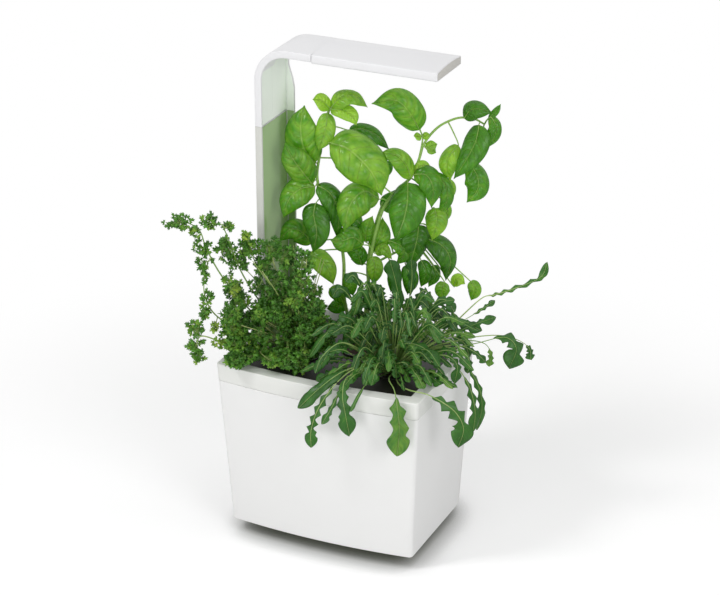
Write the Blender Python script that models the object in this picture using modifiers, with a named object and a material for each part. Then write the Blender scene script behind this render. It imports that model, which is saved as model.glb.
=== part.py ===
"""Countertop hydroponic garden: a water-filled planter with three pods, under a lamp on a two-part column.

Lengths are in metres, +Z is up, the front faces -Y. The origin is the middle of the face that it stands on.
Names that end in share or shares are fractions of the sizes they stand beside.
"""

import math

import bmesh
import bpy
from mathutils import Matrix, Vector

# Planter body: D-shaped in plan, drafted so that it is wider at the rim.
planter_width = 0.240
planter_depth = 0.192
rim_height = 0.211
foot_height = 0.0155
side_draft = 0.0105
front_draft = 0.0115
back_draft = 0.0080
front_bow = 0.0075
front_corner_radius = 0.0045
back_corner_radius = 0.046
least_radius = 0.0008
shell_wall = 0.0030
shell_floor = 0.0035
bottom_round = 0.0020

# Collar above the seam, with the flat rim and the ledge that carries the deck.
collar_height = 0.0206
rim_width = 0.0145
rim_round = 0.0010
collar_wall = 0.0025
tongue_wall = 0.0017
tongue_depth = 0.0045
ledge_width = 0.0065
ledge_thickness = 0.0025

# Deck.
deck_drop = 0.0110
deck_thickness = 0.0030

# Gaps between pieces that touch, and between pieces that slide.
gap = 0.0003
running_gap = 0.0006
overrun = 0.0040

# Plinth under the body, its rubber mat and its screws.
foot_inset = 0.0240
foot_wall = 0.0025
foot_floor = 0.0045
mat_thickness = 0.0015
mat_inset = 0.0020
boss_radius = 0.0045
boss_hole_depth = 0.0080
base_screw_side_distance = 0.0580
base_screw_end_distance = 0.0540
screw_radius = 0.0014
screw_hole_radius = 0.0017
screw_head_radius = 0.0028
screw_head_height = 0.0018
base_screw_length = 0.0095

# Deck screws.
deck_screw_front_distance = 0.0640
deck_screw_back_distance = 0.0720
deck_screw_length = 0.0050

# Pods: places of their middles on the deck, as shares of its width and depth.
pod_side_x_share = 0.2250
pod_side_y_share = -0.0729
pod_rear_y_share = 0.1146
pod_hole_radius = 0.0195
cup_radius = 0.0189
cup_foot_radius = 0.0160
cup_flange_radius = 0.0225
cup_flange_thickness = 0.0016
cup_wall = 0.0014
cup_depth = 0.0300
cup_drain_radius = 0.0060
sponge_radius_top = 0.0168
sponge_radius_foot = 0.0138
sponge_sink = 0.0020

# Lamp column: a flat plate with a flange along its back edge, in a socket on the deck.
lamp_width_share = 1 / 3
lamp_thickness = 0.0082
lamp_edge_distance = 0.0205
flange_reach = 0.0090
flange_thickness = 0.0032
tongue_height = 0.0240
tongue_margin = 0.0050
tongue_thickness = 0.0044
plate_skin = 0.0014
cover_thickness = 0.0012
cover_margin = 0.0022
duct_thickness = 0.0030
duct_margin = 0.0100
socket_wall = 0.0026
socket_boss_height = 0.0040
socket_floor = 0.0030
socket_lip_width = 0.0030
socket_lip_thickness = 0.0016
pin_radius = 0.0010
pin_hole_radius = 0.0014
pin_height = 0.0060
pin_root = 0.0015
pin_margin = 0.0140

# Arm that bends over to the light head.
arm_top_height = 0.5560
bend_radius = 0.0370
arm_length = 0.0670
spigot_length = 0.0120
spigot_margin = 0.0070
spigot_thickness = 0.0046
lamp_seam_drop = 0.0890
panel_drop_low = 0.0270
panel_drop_high = 0.0210
panel_step_y = -0.0050

# Light head.
head_length = 0.1425
head_edge_thickness = 0.0096
head_arch = 0.0021
head_skin = 0.0020
head_corner_radius = 0.0012
end_cap_thickness = 0.0030
end_cap_recess = 0.0006
diffuser_thickness = 0.0015
board_thickness = 0.0014
board_margin = 0.0060
led_size = 0.0036
led_height = 0.0009
led_rows = 2
led_columns = 6
board_screw_length = 0.0026

# Control box under the deck, and the supply inlet in the back of the collar.
control_x_share = -0.1700
control_back_distance = 0.0360
control_length = 0.0460
control_width = 0.0280
control_height = 0.0260
control_wall = 0.0020
control_board_thickness = 0.0016
control_board_rise = 0.0060
inlet_drop = 0.0110
inlet_barrel_radius = 0.0044
inlet_hole_radius = 0.0047
inlet_flange_radius = 0.0066
inlet_flange_thickness = 0.0014
inlet_length = 0.0095
inlet_bore_radius = 0.0028
inlet_bore_depth = 0.0075
inlet_pin_radius = 0.0010
inlet_pin_recess = 0.0010
nut_radius = 0.0068
nut_thickness = 0.0018

# Pump that hangs from the deck on its riser tube.
pump_x_share = 0.1250
pump_back_distance = 0.0440
pump_length = 0.0380
pump_width = 0.0300
pump_height = 0.0300
pump_clearance = 0.0060
pump_round = 0.0030
chamber_radius = 0.0110
chamber_depth = 0.0160
impeller_radius = 0.0095
impeller_hub_radius = 0.0040
impeller_length = 0.0120
impeller_bore_radius = 0.0014
blade_thickness = 0.0016
blade_count = 4
shaft_radius = 0.0010
shaft_length = 0.0180
shaft_seat = 0.0025
pump_cover_thickness = 0.0030
pump_cover_intake = 0.0050
filter_radius = 0.0125
filter_thickness = 0.0060
filter_slot_width = 0.0020
filter_slot_pitch = 0.0050
filter_slot_count = 4
filter_slot_length = 0.0140
riser_radius = 0.0055
riser_bore_radius = 0.0038
riser_seat = 0.0040

# Level gauge.
float_front_distance = 0.0400
float_radius = 0.0095
float_height = 0.0240
float_stem_radius = 0.0020
float_knob_radius = 0.0040
float_knob_height = 0.0020
float_hole_radius = 0.0028
guide_radius = 0.0125
guide_wall = 0.0015
guide_length = 0.0700
guide_lip = 0.0035

# Plants. Their tables run across, back and up from the pod's middle, with the pod turned in its hole.
plant_turn = math.radians(24.5)
leaf_thickness = 0.0009
crown_radius = 0.0070
crown_top_radius = 0.0030
crown_height = 0.0060
plant_width_share = 0.4375
plant_depth_share = 0.546875
plant_height_share = 0.6609
basil_stem_radius = 0.0019
basil_twig_radius = 0.0014
basil_petiole_radius = 0.0010
basil_long_leaf = 0.0450
parsley_stalk_radius = 0.0012
parsley_twig_radius = 0.0008
rocket_stalk_radius = 0.0012

round_segments = 24
small_segments = 12
screw_segments = 8
cup_segments = 16
turn = math.tau

# Heights and places that follow from the sizes above.
seam_height = rim_height - collar_height
deck_top = rim_height - deck_drop
deck_bottom = deck_top - deck_thickness
ledge_top = deck_bottom - gap
deck_inset = rim_width + gap
base_screw_x = planter_width / 2 - base_screw_side_distance
base_screw_y = planter_depth / 2 - base_screw_end_distance
deck_screw_front_x = planter_width / 2 - deck_screw_front_distance
deck_screw_back_x = planter_width / 2 - deck_screw_back_distance
pod_side_x = planter_width * pod_side_x_share
pod_side_y = planter_depth * pod_side_y_share
pod_rear_y = planter_depth * pod_rear_y_share
lamp_width = planter_depth * lamp_width_share
tongue_width = lamp_width - 2 * tongue_margin
duct_width = lamp_width - 2 * duct_margin
spigot_width = lamp_width - 2 * spigot_margin
pin_place = lamp_width / 2 - pin_margin
lamp_outer_x = lamp_edge_distance - planter_width / 2
lamp_inner_x = lamp_outer_x + lamp_thickness
lamp_middle_x = lamp_outer_x + lamp_thickness / 2
column_foot_height = deck_top + socket_boss_height + gap
column_seam_height = arm_top_height - lamp_seam_drop
panel_top_low = arm_top_height - panel_drop_low
panel_top_high = arm_top_height - panel_drop_high
head_start_x = lamp_outer_x + arm_length
head_end_x = head_start_x + head_length
control_x = planter_width * control_x_share
control_y = planter_depth / 2 - control_back_distance
inlet_x = control_x
pump_x = planter_width * pump_x_share
pump_y = planter_depth / 2 - pump_back_distance
float_y = float_front_distance - planter_depth / 2
pod_top = deck_top + gap + cup_flange_thickness
sponge_top = pod_top - sponge_sink
plant_foot = sponge_top + gap
plant_reach_x = planter_width * plant_width_share
plant_reach_y = planter_depth * plant_depth_share
plant_height = (arm_top_height - rim_height) * plant_height_share


def clear_scene():
    """Remove what the scene holds, so that the script starts from nothing."""
    for item in list(bpy.data.objects):
        bpy.data.objects.remove(item, do_unlink=True)
    for item in list(bpy.data.meshes):
        bpy.data.meshes.remove(item)


def new_collection(name):
    """A collection of this name in the scene."""
    made = bpy.data.collections.new(name)
    bpy.context.scene.collection.children.link(made)
    return made


clear_scene()
garden = new_collection("hydroponic_garden")
helpers = new_collection("cutters")


def finish_material(name, colour, roughness, metallic=0.0, alpha=1.0):
    """A Principled material of one colour, given as linear red, green and blue."""
    material = bpy.data.materials.new(name)
    material.use_nodes = True
    shader = material.node_tree.nodes["Principled BSDF"]
    shader.inputs["Base Color"].default_value = (*colour, 1.0)
    shader.inputs["Roughness"].default_value = roughness
    shader.inputs["Metallic"].default_value = metallic
    shader.inputs["Alpha"].default_value = alpha
    material.diffuse_color = (*colour, alpha)
    return material


white_abs = finish_material("white_moulded_abs", (0.80, 0.80, 0.79), 0.42)
white_rim = finish_material("rim_moulded_abs", (0.74, 0.74, 0.72), 0.45)
dark_abs = finish_material("dark_moulded_abs", (0.05, 0.05, 0.05), 0.55)
panel_gloss = finish_material("gloss_panel", (0.72, 0.78, 0.72), 0.12)
grey_abs = finish_material("grey_moulded_abs", (0.56, 0.55, 0.52), 0.5)
frosted = finish_material("frosted_diffuser", (0.92, 0.92, 0.90), 0.35)
rubber = finish_material("black_rubber", (0.03, 0.03, 0.03), 0.8)
steel = finish_material("zinc_plated_steel", (0.62, 0.62, 0.62), 0.35, metallic=1.0)
brass = finish_material("plated_brass", (0.75, 0.60, 0.30), 0.3, metallic=1.0)
board_green = finish_material("circuit_board", (0.02, 0.16, 0.07), 0.5)
board_white = finish_material("white_led_board", (0.85, 0.85, 0.82), 0.5)
ceramic = finish_material("ceramic_shaft", (0.85, 0.84, 0.80), 0.3)
foam = finish_material("grow_foam", (0.07, 0.04, 0.02), 0.95)
basil_green = finish_material("basil_leaf", (0.10, 0.30, 0.03), 0.35)
parsley_green = finish_material("parsley_leaf", (0.08, 0.24, 0.03), 0.45)
rocket_green = finish_material("rocket_leaf", (0.06, 0.20, 0.05), 0.4)


def keep(name, mesh, material, smooth_angle=math.radians(35)):
    """The named piece made from a mesh, in the garden's collection."""
    piece = bpy.data.objects.new(name, mesh)
    garden.objects.link(piece)
    mesh.materials.clear()
    mesh.materials.append(material)
    mesh.shade_smooth()
    mesh.set_sharp_from_angle(angle=smooth_angle)
    return piece


def helper(name, mesh):
    """A cutter or a shape to be joined, left out of the picture."""
    tool = bpy.data.objects.new(name, mesh)
    helpers.objects.link(tool)
    tool.hide_render = True
    tool.display_type = "WIRE"
    return tool


def mesh_from(bm, name):
    """The mesh that a bmesh holds, with its faces turned outwards."""
    bmesh.ops.recalc_face_normals(bm, faces=bm.faces)
    mesh = bpy.data.meshes.new(name)
    bm.to_mesh(mesh)
    bm.free()
    return mesh


def box_mesh(name, low, high):
    """A box between two corners."""
    low, high = Vector(low), Vector(high)
    bm = bmesh.new()
    bmesh.ops.create_cube(bm, size=1)
    size = high - low
    place = Matrix.Translation((low + high) / 2) @ Matrix.Diagonal((*size, 1))
    bmesh.ops.transform(bm, matrix=place, verts=bm.verts)
    return mesh_from(bm, name)


def rod_mesh(name, start, end, radius, end_radius=None, segments=round_segments):
    """A rod or a cone between two points."""
    start, end = Vector(start), Vector(end)
    along = end - start
    bm = bmesh.new()
    bmesh.ops.create_cone(
        bm,
        cap_ends=True,
        segments=segments,
        radius1=radius,
        radius2=radius if end_radius is None else end_radius,
        depth=along.length,
    )
    place = Matrix.Translation((start + end) / 2) @ along.to_track_quat("Z", "Y").to_matrix().to_4x4()
    bmesh.ops.transform(bm, matrix=place, verts=bm.verts)
    return mesh_from(bm, name)


def solid_from(source):
    """The evaluated mesh of an object, in world space and welded, with the object removed."""
    bpy.context.view_layer.update()
    graph = bpy.context.evaluated_depsgraph_get()
    mesh = bpy.data.meshes.new_from_object(source.evaluated_get(graph))
    mesh.transform(source.matrix_world)
    bm = bmesh.new()
    bm.from_mesh(mesh)
    bmesh.ops.remove_doubles(bm, verts=bm.verts, dist=0.000001)
    bmesh.ops.recalc_face_normals(bm, faces=bm.faces)
    bm.to_mesh(mesh)
    bm.free()
    bpy.data.objects.remove(source)
    return mesh


def both_meshes(name, first, second):
    """One mesh that holds the solids of two."""
    bm = bmesh.new()
    bm.from_mesh(first)
    bm.from_mesh(second)
    mesh = bpy.data.meshes.new(name)
    bm.to_mesh(mesh)
    bm.free()
    return mesh


def outline_mesh(name, points, low, high, upright=False):
    """A flat outline pushed from low to high: along +Z, or along +Y when it stands upright in X and Z."""
    curve = bpy.data.curves.new(name, "CURVE")
    curve.dimensions = "2D"
    curve.fill_mode = "BOTH"
    curve.extrude = (high - low) / 2
    spline = curve.splines.new("POLY")
    spline.points.add(len(points) - 1)
    for place, (across, along) in zip(spline.points, points):
        place.co = (across, along, 0, 1)
    spline.use_cyclic_u = True
    shape = bpy.data.objects.new(name, curve)
    helpers.objects.link(shape)
    middle = (low + high) / 2
    if upright:
        shape.rotation_euler = (math.radians(90), 0, 0)
        shape.location = (0, middle, 0)
    else:
        shape.location = (0, 0, middle)
    return solid_from(shape)


def turned_mesh(name, profile, place=(0, 0, 0), axis_turn=None, segments=round_segments):
    """A profile of radius and height, turned about +Z by a Screw modifier. It runs down its outer side."""
    bm = bmesh.new()
    made = [bm.verts.new((radius, 0, height)) for radius, height in profile]
    for first, second in zip(made, made[1:]):
        bm.edges.new((first, second))
    closed = profile[0][0] > 0 and profile[-1][0] > 0
    if closed:
        bm.edges.new((made[-1], made[0]))
    mesh = bpy.data.meshes.new(name)
    bm.to_mesh(mesh)
    bm.free()
    shape = bpy.data.objects.new(name, mesh)
    helpers.objects.link(shape)
    screw = shape.modifiers.new("turn", "SCREW")
    screw.axis = "Z"
    screw.angle = turn
    screw.steps = segments
    screw.render_steps = segments
    screw.use_merge_vertices = True
    screw.merge_threshold = 0.00001
    shape.location = place
    if axis_turn:
        shape.rotation_euler = axis_turn
    return solid_from(shape)


def boolean(piece, tool, operation="DIFFERENCE", itself=False):
    """Cut one solid from a piece, or join it on."""
    change = piece.modifiers.new(operation.lower(), "BOOLEAN")
    change.operation = operation
    change.solver = "EXACT"
    change.use_self = itself
    change.object = tool
    return change


def cut(piece, *meshes):
    for mesh in meshes:
        boolean(piece, helper(mesh.name, mesh))


def join(piece, *meshes):
    for mesh in meshes:
        boolean(piece, helper(mesh.name, mesh), "UNION")


def plan(height, inset):
    """The planter's outline at a height, moved in by inset, from its front left corner and round."""
    share = (rim_height - height) / (rim_height - foot_height)
    half = planter_width / 2 - side_draft * share - inset
    front = -planter_depth / 2 + front_draft * share + inset
    back = planter_depth / 2 - back_draft * share - inset
    front_radius = max(front_corner_radius - inset, least_radius)
    back_radius = max(back_corner_radius - inset, least_radius)
    slope = math.atan(2 * front_bow / half)
    last = half - front_radius * (1 - math.sin(slope))
    points = []
    bow_steps, corner_steps, back_steps = 6, 3, 6

    def bow_at(across):
        return front - front_bow * (1 - (across / half) ** 2)

    for step in range(bow_steps + 1):
        across = last * (2 * step / bow_steps - 1)
        points.append((across, bow_at(across)))
    middle = bow_at(last) + front_radius * math.cos(slope)
    right = []
    for step in range(1, corner_steps + 1):
        angle = (slope - math.radians(90)) * (1 - step / corner_steps)
        right.append(
            (
                half - front_radius + front_radius * math.cos(angle),
                middle + front_radius * math.sin(angle),
            ),
        )
    for step in range(back_steps + 1):
        angle = math.radians(90) * step / back_steps
        right.append(
            (
                half - back_radius + back_radius * math.cos(angle),
                back - back_radius + back_radius * math.sin(angle),
            ),
        )
    points += right
    points += [(-across, along) for across, along in reversed(right)]
    return [Vector((across, along, height)) for across, along in points]


def bow_place(across, height, inset):
    """How far forward the planter's front stands at this place."""
    share = (rim_height - height) / (rim_height - foot_height)
    half = planter_width / 2 - side_draft * share - inset
    front = -planter_depth / 2 + front_draft * share + inset
    return front - front_bow * (1 - (across / half) ** 2)


def back_place(height, inset):
    """How far back the planter's back stands at this height."""
    share = (rim_height - height) / (rim_height - foot_height)
    return planter_depth / 2 - back_draft * share - inset


def stack_mesh(name, sections, ring=False):
    """A loft through the planter's outline at each (inset, height), closed by its ends, or as a ring."""
    bm = bmesh.new()
    loops = [[bm.verts.new(point) for point in plan(height, inset)] for inset, height in sections]
    pairs = list(zip(loops, loops[1:]))
    if ring:
        pairs.append((loops[-1], loops[0]))
    else:
        bm.faces.new(loops[0])
        bm.faces.new(loops[-1])
    for first, second in pairs:
        for step in range(len(first)):
            after = (step + 1) % len(first)
            bm.faces.new((first[step], first[after], second[after], second[step]))
    return mesh_from(bm, name)


def screw_mesh(name, place, length, upward):
    """A pan-head screw whose head's under-face is at place, with its shank going up or down."""
    way = 1 if upward else -1
    profile = [
        (0, screw_head_height),
        (screw_head_radius, screw_head_height),
        (screw_head_radius, 0),
        (screw_radius, 0),
        (screw_radius, -length),
        (0, -length),
    ]
    axis_turn = (math.radians(180), 0, 0) if way > 0 else None
    return turned_mesh(name, profile, place, axis_turn, screw_segments)


def corners_of(half_x, half_y):
    """The four corners of a rectangle about the middle, numbered from the front left."""
    return [(-half_x, -half_y), (half_x, -half_y), (half_x, half_y), (-half_x, half_y)]


base_screw_places = corners_of(base_screw_x, base_screw_y)


def make_planter_shell():
    """Reservoir body with four bosses on its underside for the plinth's screws."""
    rim = seam_height
    sections = [
        (bottom_round, foot_height),
        (0, foot_height + bottom_round),
        (0, rim),
        (shell_wall, rim),
        (shell_wall, foot_height + shell_floor),
    ]
    shell = keep("planter_shell", stack_mesh("planter_shell", sections), white_abs)
    boss_foot = mat_thickness + gap + foot_floor + gap
    for number, (x, y) in enumerate(base_screw_places, 1):
        top = foot_height + shell_floor / 2
        join(
            shell,
            rod_mesh(
                f"boss_{number}", (x, y, boss_foot), (x, y, top), boss_radius, segments=small_segments
            ),
        )
    for number, (x, y) in enumerate(base_screw_places, 1):
        low = boss_foot - overrun
        high = boss_foot + boss_hole_depth
        cut(
            shell,
            rod_mesh(
                f"boss_hole_{number}",
                (x, y, low),
                (x, y, high),
                screw_hole_radius,
                segments=screw_segments,
            ),
        )
    return shell


def make_base():
    """Plinth, the mat glued under it, and the four screws that hold it to the body."""
    low = mat_thickness + gap
    high = foot_height - gap
    sections = [
        (foot_inset, low),
        (foot_inset, high),
        (foot_inset + foot_wall, high),
        (foot_inset + foot_wall, low + foot_floor),
    ]
    foot = keep("base_foot", stack_mesh("base_foot", sections), white_abs)
    head_room = screw_head_height + gap
    for number, (x, y) in enumerate(base_screw_places, 1):
        cut(
            foot,
            rod_mesh(
                f"foot_hole_{number}",
                (x, y, low - overrun),
                (x, y, low + foot_floor + overrun),
                screw_hole_radius,
                segments=screw_segments,
            ),
        )
        cut(
            foot,
            rod_mesh(
                f"foot_sink_{number}",
                (x, y, low - overrun),
                (x, y, low + head_room),
                screw_head_radius + gap,
                segments=small_segments,
            ),
        )
        keep(
            f"base_screw_{number}",
            screw_mesh(f"base_screw_{number}", (x, y, low + head_room - gap), base_screw_length, True),
            steel,
        )
    mat_sections = [(foot_inset + mat_inset, 0), (foot_inset + mat_inset, mat_thickness)]
    keep("anti_slip_mat", stack_mesh("anti_slip_mat", mat_sections), rubber)


deck_screw_places = [
    (-deck_screw_front_x, bow_place(deck_screw_front_x, deck_top, rim_width) + ledge_width / 2),
    (deck_screw_front_x, bow_place(deck_screw_front_x, deck_top, rim_width) + ledge_width / 2),
    (deck_screw_back_x, planter_depth / 2 - rim_width - ledge_width / 2),
    (-deck_screw_back_x, planter_depth / 2 - rim_width - ledge_width / 2),
]
pod_places = [(-pod_side_x, pod_side_y), (0, pod_rear_y), (pod_side_x, pod_side_y)]


def make_collar():
    """Ring above the seam: skin, flat rim, inner wall, the ledge for the deck, and a tongue into the body."""
    tongue_outer = shell_wall + gap
    tongue_inner = tongue_outer + tongue_wall
    sections = [
        (0, seam_height + gap),
        (0, rim_height - rim_round),
        (rim_round, rim_height),
        (rim_width - rim_round, rim_height),
        (rim_width, rim_height - rim_round),
        (rim_width, ledge_top),
        (rim_width + ledge_width, ledge_top),
        (rim_width + ledge_width, ledge_top - ledge_thickness),
        (rim_width - collar_wall, ledge_top - ledge_thickness),
        (rim_width - collar_wall, rim_height - collar_wall),
        (tongue_inner, rim_height - collar_wall),
        (tongue_inner, seam_height - tongue_depth),
        (tongue_outer, seam_height - tongue_depth),
        (tongue_outer, seam_height + gap),
    ]
    collar = keep("rim_collar", stack_mesh("rim_collar", sections, ring=True), white_rim)
    for number, (x, y) in enumerate(deck_screw_places, 1):
        cut(
            collar,
            rod_mesh(
                f"ledge_hole_{number}",
                (x, y, ledge_top - ledge_thickness - overrun),
                (x, y, ledge_top + gap),
                screw_hole_radius,
                segments=screw_segments,
            ),
        )
    inlet_z = rim_height - inlet_drop
    back = planter_depth / 2
    hole_start = back_place(inlet_z, tongue_inner) - overrun
    cut(
        collar,
        rod_mesh(
            "inlet_hole",
            (inlet_x, hole_start, inlet_z),
            (inlet_x, back + overrun, inlet_z),
            inlet_hole_radius,
        ),
    )
    half_x, half_y = socket_half_sizes()
    low = (lamp_middle_x - half_x - gap, -half_y - gap, ledge_top - ledge_thickness - overrun)
    high = (lamp_middle_x + half_x + overrun, half_y + gap, ledge_top + gap)
    cut(collar, box_mesh("socket_notch", low, high))
    return collar


def make_deck():
    """Plate that carries the pods, the lamp socket, the pump and the gauge."""
    deck = keep(
        "planting_deck",
        stack_mesh("planting_deck", [(deck_inset, deck_bottom), (deck_inset, deck_top)]),
        dark_abs,
    )
    low, high = deck_bottom - overrun, deck_top + overrun
    for number, (x, y) in enumerate(pod_places, 1):
        cut(deck, rod_mesh(f"pod_hole_{number}", (x, y, low), (x, y, high), pod_hole_radius))
    for number, (x, y) in enumerate(deck_screw_places, 1):
        cut(
            deck,
            rod_mesh(
                f"deck_hole_{number}",
                (x, y, low),
                (x, y, high),
                screw_hole_radius,
                segments=screw_segments,
            ),
        )
        keep(
            f"deck_screw_{number}",
            screw_mesh(f"deck_screw_{number}", (x, y, deck_top + gap), deck_screw_length, False),
            steel,
        )
    cut(
        deck,
        rod_mesh(
            "gauge_hole",
            (0, float_y, low),
            (0, float_y, high),
            float_hole_radius,
            segments=small_segments,
        ),
    )
    half_x, half_y = socket_half_sizes()
    cut(
        deck,
        box_mesh(
            "socket_slot",
            (lamp_middle_x - half_x - gap, -half_y - gap, low),
            (lamp_middle_x + half_x + gap, half_y + gap, high),
        ),
    )
    return deck


def socket_half_sizes():
    """Half the socket's outer thickness and width."""
    return tongue_thickness / 2 + running_gap + socket_wall, tongue_width / 2 + running_gap + socket_wall


def pin_meshes(prefix, floor_top):
    """Two contact pins that stand in a slot's floor."""
    made = []
    for number, y in enumerate((-pin_place, pin_place), 1):
        made.append(
            rod_mesh(
                f"{prefix}_{number}",
                (lamp_middle_x, y, floor_top - pin_root),
                (lamp_middle_x, y, floor_top + pin_height),
                pin_radius,
                segments=screw_segments,
            ),
        )
    return made


def pin_holes(prefix, low, high):
    """Holes that clear the two contact pins."""
    return [
        rod_mesh(
            f"{prefix}_{number}",
            (lamp_middle_x, y, low),
            (lamp_middle_x, y, high),
            pin_hole_radius,
            segments=screw_segments,
        )
        for number, y in enumerate((-pin_place, pin_place), 1)
    ]


def tongue_mesh(name, low, high):
    """The flat tongue at the foot of a column part."""
    return box_mesh(
        name,
        (lamp_middle_x - tongue_thickness / 2, -tongue_width / 2, low),
        (lamp_middle_x + tongue_thickness / 2, tongue_width / 2, high),
    )


def slot_mesh(name, low, high):
    """The space that a tongue slides in."""
    half_x = tongue_thickness / 2 + running_gap
    half_y = tongue_width / 2 + running_gap
    return box_mesh(name, (lamp_middle_x - half_x, -half_y, low), (lamp_middle_x + half_x, half_y, high))


def make_socket():
    """Socket for the column: a sleeve through the deck with a lip, and two contact pins in its floor."""
    half_x, half_y = socket_half_sizes()
    top = deck_top + socket_boss_height
    slot_floor = top - tongue_height - running_gap
    low = slot_floor - socket_floor
    socket = keep(
        "lamp_socket",
        box_mesh(
            "lamp_socket", (lamp_middle_x - half_x, -half_y, low), (lamp_middle_x + half_x, half_y, top)
        ),
        dark_abs,
    )
    lip = box_mesh(
        "socket_lip",
        (lamp_middle_x - half_x - socket_lip_width / 2, -half_y - socket_lip_width, deck_top + gap),
        (
            lamp_middle_x + half_x + socket_lip_width,
            half_y + socket_lip_width,
            deck_top + gap + socket_lip_thickness,
        ),
    )
    join(socket, lip)
    cut(socket, slot_mesh("socket_space", slot_floor, top + overrun))
    for hole in pin_holes("socket_pin_hole", slot_floor - pin_root - gap, slot_floor + gap):
        cut(socket, hole)
    for pin in pin_meshes("socket_pin", slot_floor):
        keep(pin.name, pin, brass)


def back_flange(name, low, high):
    """The flange along the back edge of the plate, which also hides the wires."""
    return box_mesh(
        name,
        (lamp_inner_x - plate_skin, lamp_width / 2 - flange_thickness, low),
        (lamp_inner_x + flange_reach, lamp_width / 2, high),
    )


def make_column():
    """Lower column: a hollow plate, closed on its inner side by a glossy panel, with a slot on top."""
    low, high = column_foot_height, column_seam_height
    half = lamp_width / 2
    column = keep(
        "column_shell",
        box_mesh("column_shell", (lamp_outer_x, -half, low), (lamp_inner_x, half, high)),
        white_abs,
    )
    join(
        column,
        back_flange("column_flange", low, high),
        tongue_mesh("column_tongue", low - tongue_height, low + overrun),
    )
    panel_back = half - flange_thickness - gap
    recess_x = lamp_inner_x - cover_thickness - gap
    cut(
        column,
        box_mesh(
            "column_recess",
            (recess_x, -half + cover_margin, low + cover_margin),
            (lamp_inner_x + overrun, panel_back + gap, high - cover_margin),
        ),
    )
    slot_floor = high - tongue_height - running_gap
    duct_top = slot_floor - socket_floor - running_gap
    cut(
        column,
        box_mesh(
            "column_duct",
            (lamp_middle_x - duct_thickness / 2, -duct_width / 2, low + tongue_height),
            (lamp_inner_x, duct_width / 2, duct_top),
        ),
    )
    cut(column, slot_mesh("column_slot", slot_floor, high + overrun))
    for hole in pin_holes("column_pin_hole", slot_floor - pin_root - gap, slot_floor + gap):
        cut(column, hole)
    foot = low - tongue_height
    for hole in pin_holes("column_foot_hole", foot - gap, foot + pin_height + running_gap):
        cut(column, hole)
    cover = box_mesh(
        "column_cover",
        (recess_x + gap, -half + cover_margin + gap, low + cover_margin + gap),
        (lamp_inner_x, panel_back, high - cover_margin - gap),
    )
    keep("column_cover", cover, panel_gloss)
    for pin in pin_meshes("column_pin", slot_floor):
        keep(pin.name, pin, brass)


def bent_outline(outer_inset, thickness, low, end_x):
    """Side view of the arm: up from low, round the bend, and along to end_x, set in from the outer face."""
    radius = bend_radius - outer_inset
    inner_radius = bend_radius - outer_inset - thickness
    centre_x = lamp_outer_x + bend_radius
    centre_z = arm_top_height - bend_radius
    steps = 8
    outer = [(centre_x - radius, low)]
    inner = [(centre_x - inner_radius, low)]
    for step in range(steps + 1):
        angle = math.radians(180) - math.radians(90) * step / steps
        outer.append((centre_x + radius * math.cos(angle), centre_z + radius * math.sin(angle)))
        inner.append((centre_x + inner_radius * math.cos(angle), centre_z + inner_radius * math.sin(angle)))
    outer.append((end_x, centre_z + radius))
    inner.append((end_x, centre_z + inner_radius))
    return outer + inner[::-1]


def make_arm():
    """Upper column and arm in one bent moulding, with a tongue, a spigot into the head and a panel."""
    low = column_seam_height + gap
    half = lamp_width / 2
    end_x = head_start_x - gap
    arm_mesh = outline_mesh(
        "arm_shell", bent_outline(0, lamp_thickness, low, end_x), -half, half, upright=True
    )
    arm = keep("arm_shell", arm_mesh, white_abs)
    flange_top = arm_top_height - bend_radius
    join(
        arm,
        back_flange("arm_flange", low, flange_top),
        tongue_mesh("arm_tongue", low - tongue_height, low + overrun),
    )
    middle_z = arm_top_height - lamp_thickness / 2
    spigot = box_mesh(
        "arm_spigot",
        (end_x - overrun, -spigot_width / 2, middle_z - spigot_thickness / 2),
        (head_start_x + spigot_length, spigot_width / 2, middle_z + spigot_thickness / 2),
    )
    join(arm, spigot)
    recess_x = lamp_inner_x - cover_thickness - gap
    panel_front = -half + cover_margin
    panel_back = half - flange_thickness - gap
    step_low = box_mesh(
        "panel_recess_low",
        (recess_x, panel_front, low + cover_margin),
        (lamp_inner_x + overrun, panel_step_y, panel_top_low),
    )
    step_high = box_mesh(
        "panel_recess_high",
        (recess_x, panel_step_y - gap, low + cover_margin),
        (lamp_inner_x + overrun, panel_back + gap, panel_top_high),
    )
    cut(arm, step_low, step_high)
    duct_inset = (lamp_thickness - duct_thickness) / 2
    duct_low = low + tongue_height / 2
    duct = outline_mesh(
        "arm_duct",
        bent_outline(duct_inset, duct_thickness, duct_low, head_start_x + spigot_length + overrun),
        -duct_width / 2,
        duct_width / 2,
        upright=True,
    )
    cut(arm, duct)
    window = box_mesh(
        "duct_window",
        (lamp_middle_x, -duct_width / 2, duct_low),
        (lamp_inner_x, duct_width / 2, panel_top_low - cover_margin),
    )
    cut(arm, window)
    foot = low - tongue_height
    for hole in pin_holes("arm_foot_hole", foot - gap, foot + pin_height + running_gap):
        cut(arm, hole)
    cover_low = box_mesh(
        "arm_cover",
        (recess_x + gap, panel_front + gap, low + cover_margin + gap),
        (lamp_inner_x, panel_step_y, panel_top_low - gap),
    )
    cover = keep("arm_cover", cover_low, panel_gloss)
    join(
        cover,
        box_mesh(
            "arm_cover_high",
            (recess_x + gap, panel_step_y - gap, low + cover_margin + gap),
            (lamp_inner_x, panel_back, panel_top_high - gap),
        ),
    )


def head_outline(inset):
    """End view of the light head: flat below and arched above, set in by inset."""
    half = lamp_width / 2 - inset
    low = arm_top_height - head_edge_thickness + inset
    high = arm_top_height - inset
    steps = 8
    points = [(-half, low), (half, low)]
    for step in range(steps + 1):
        share = 1 - 2 * step / steps
        points.append((half * share, high + head_arch * (1 - share ** 2)))
    return points


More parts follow.
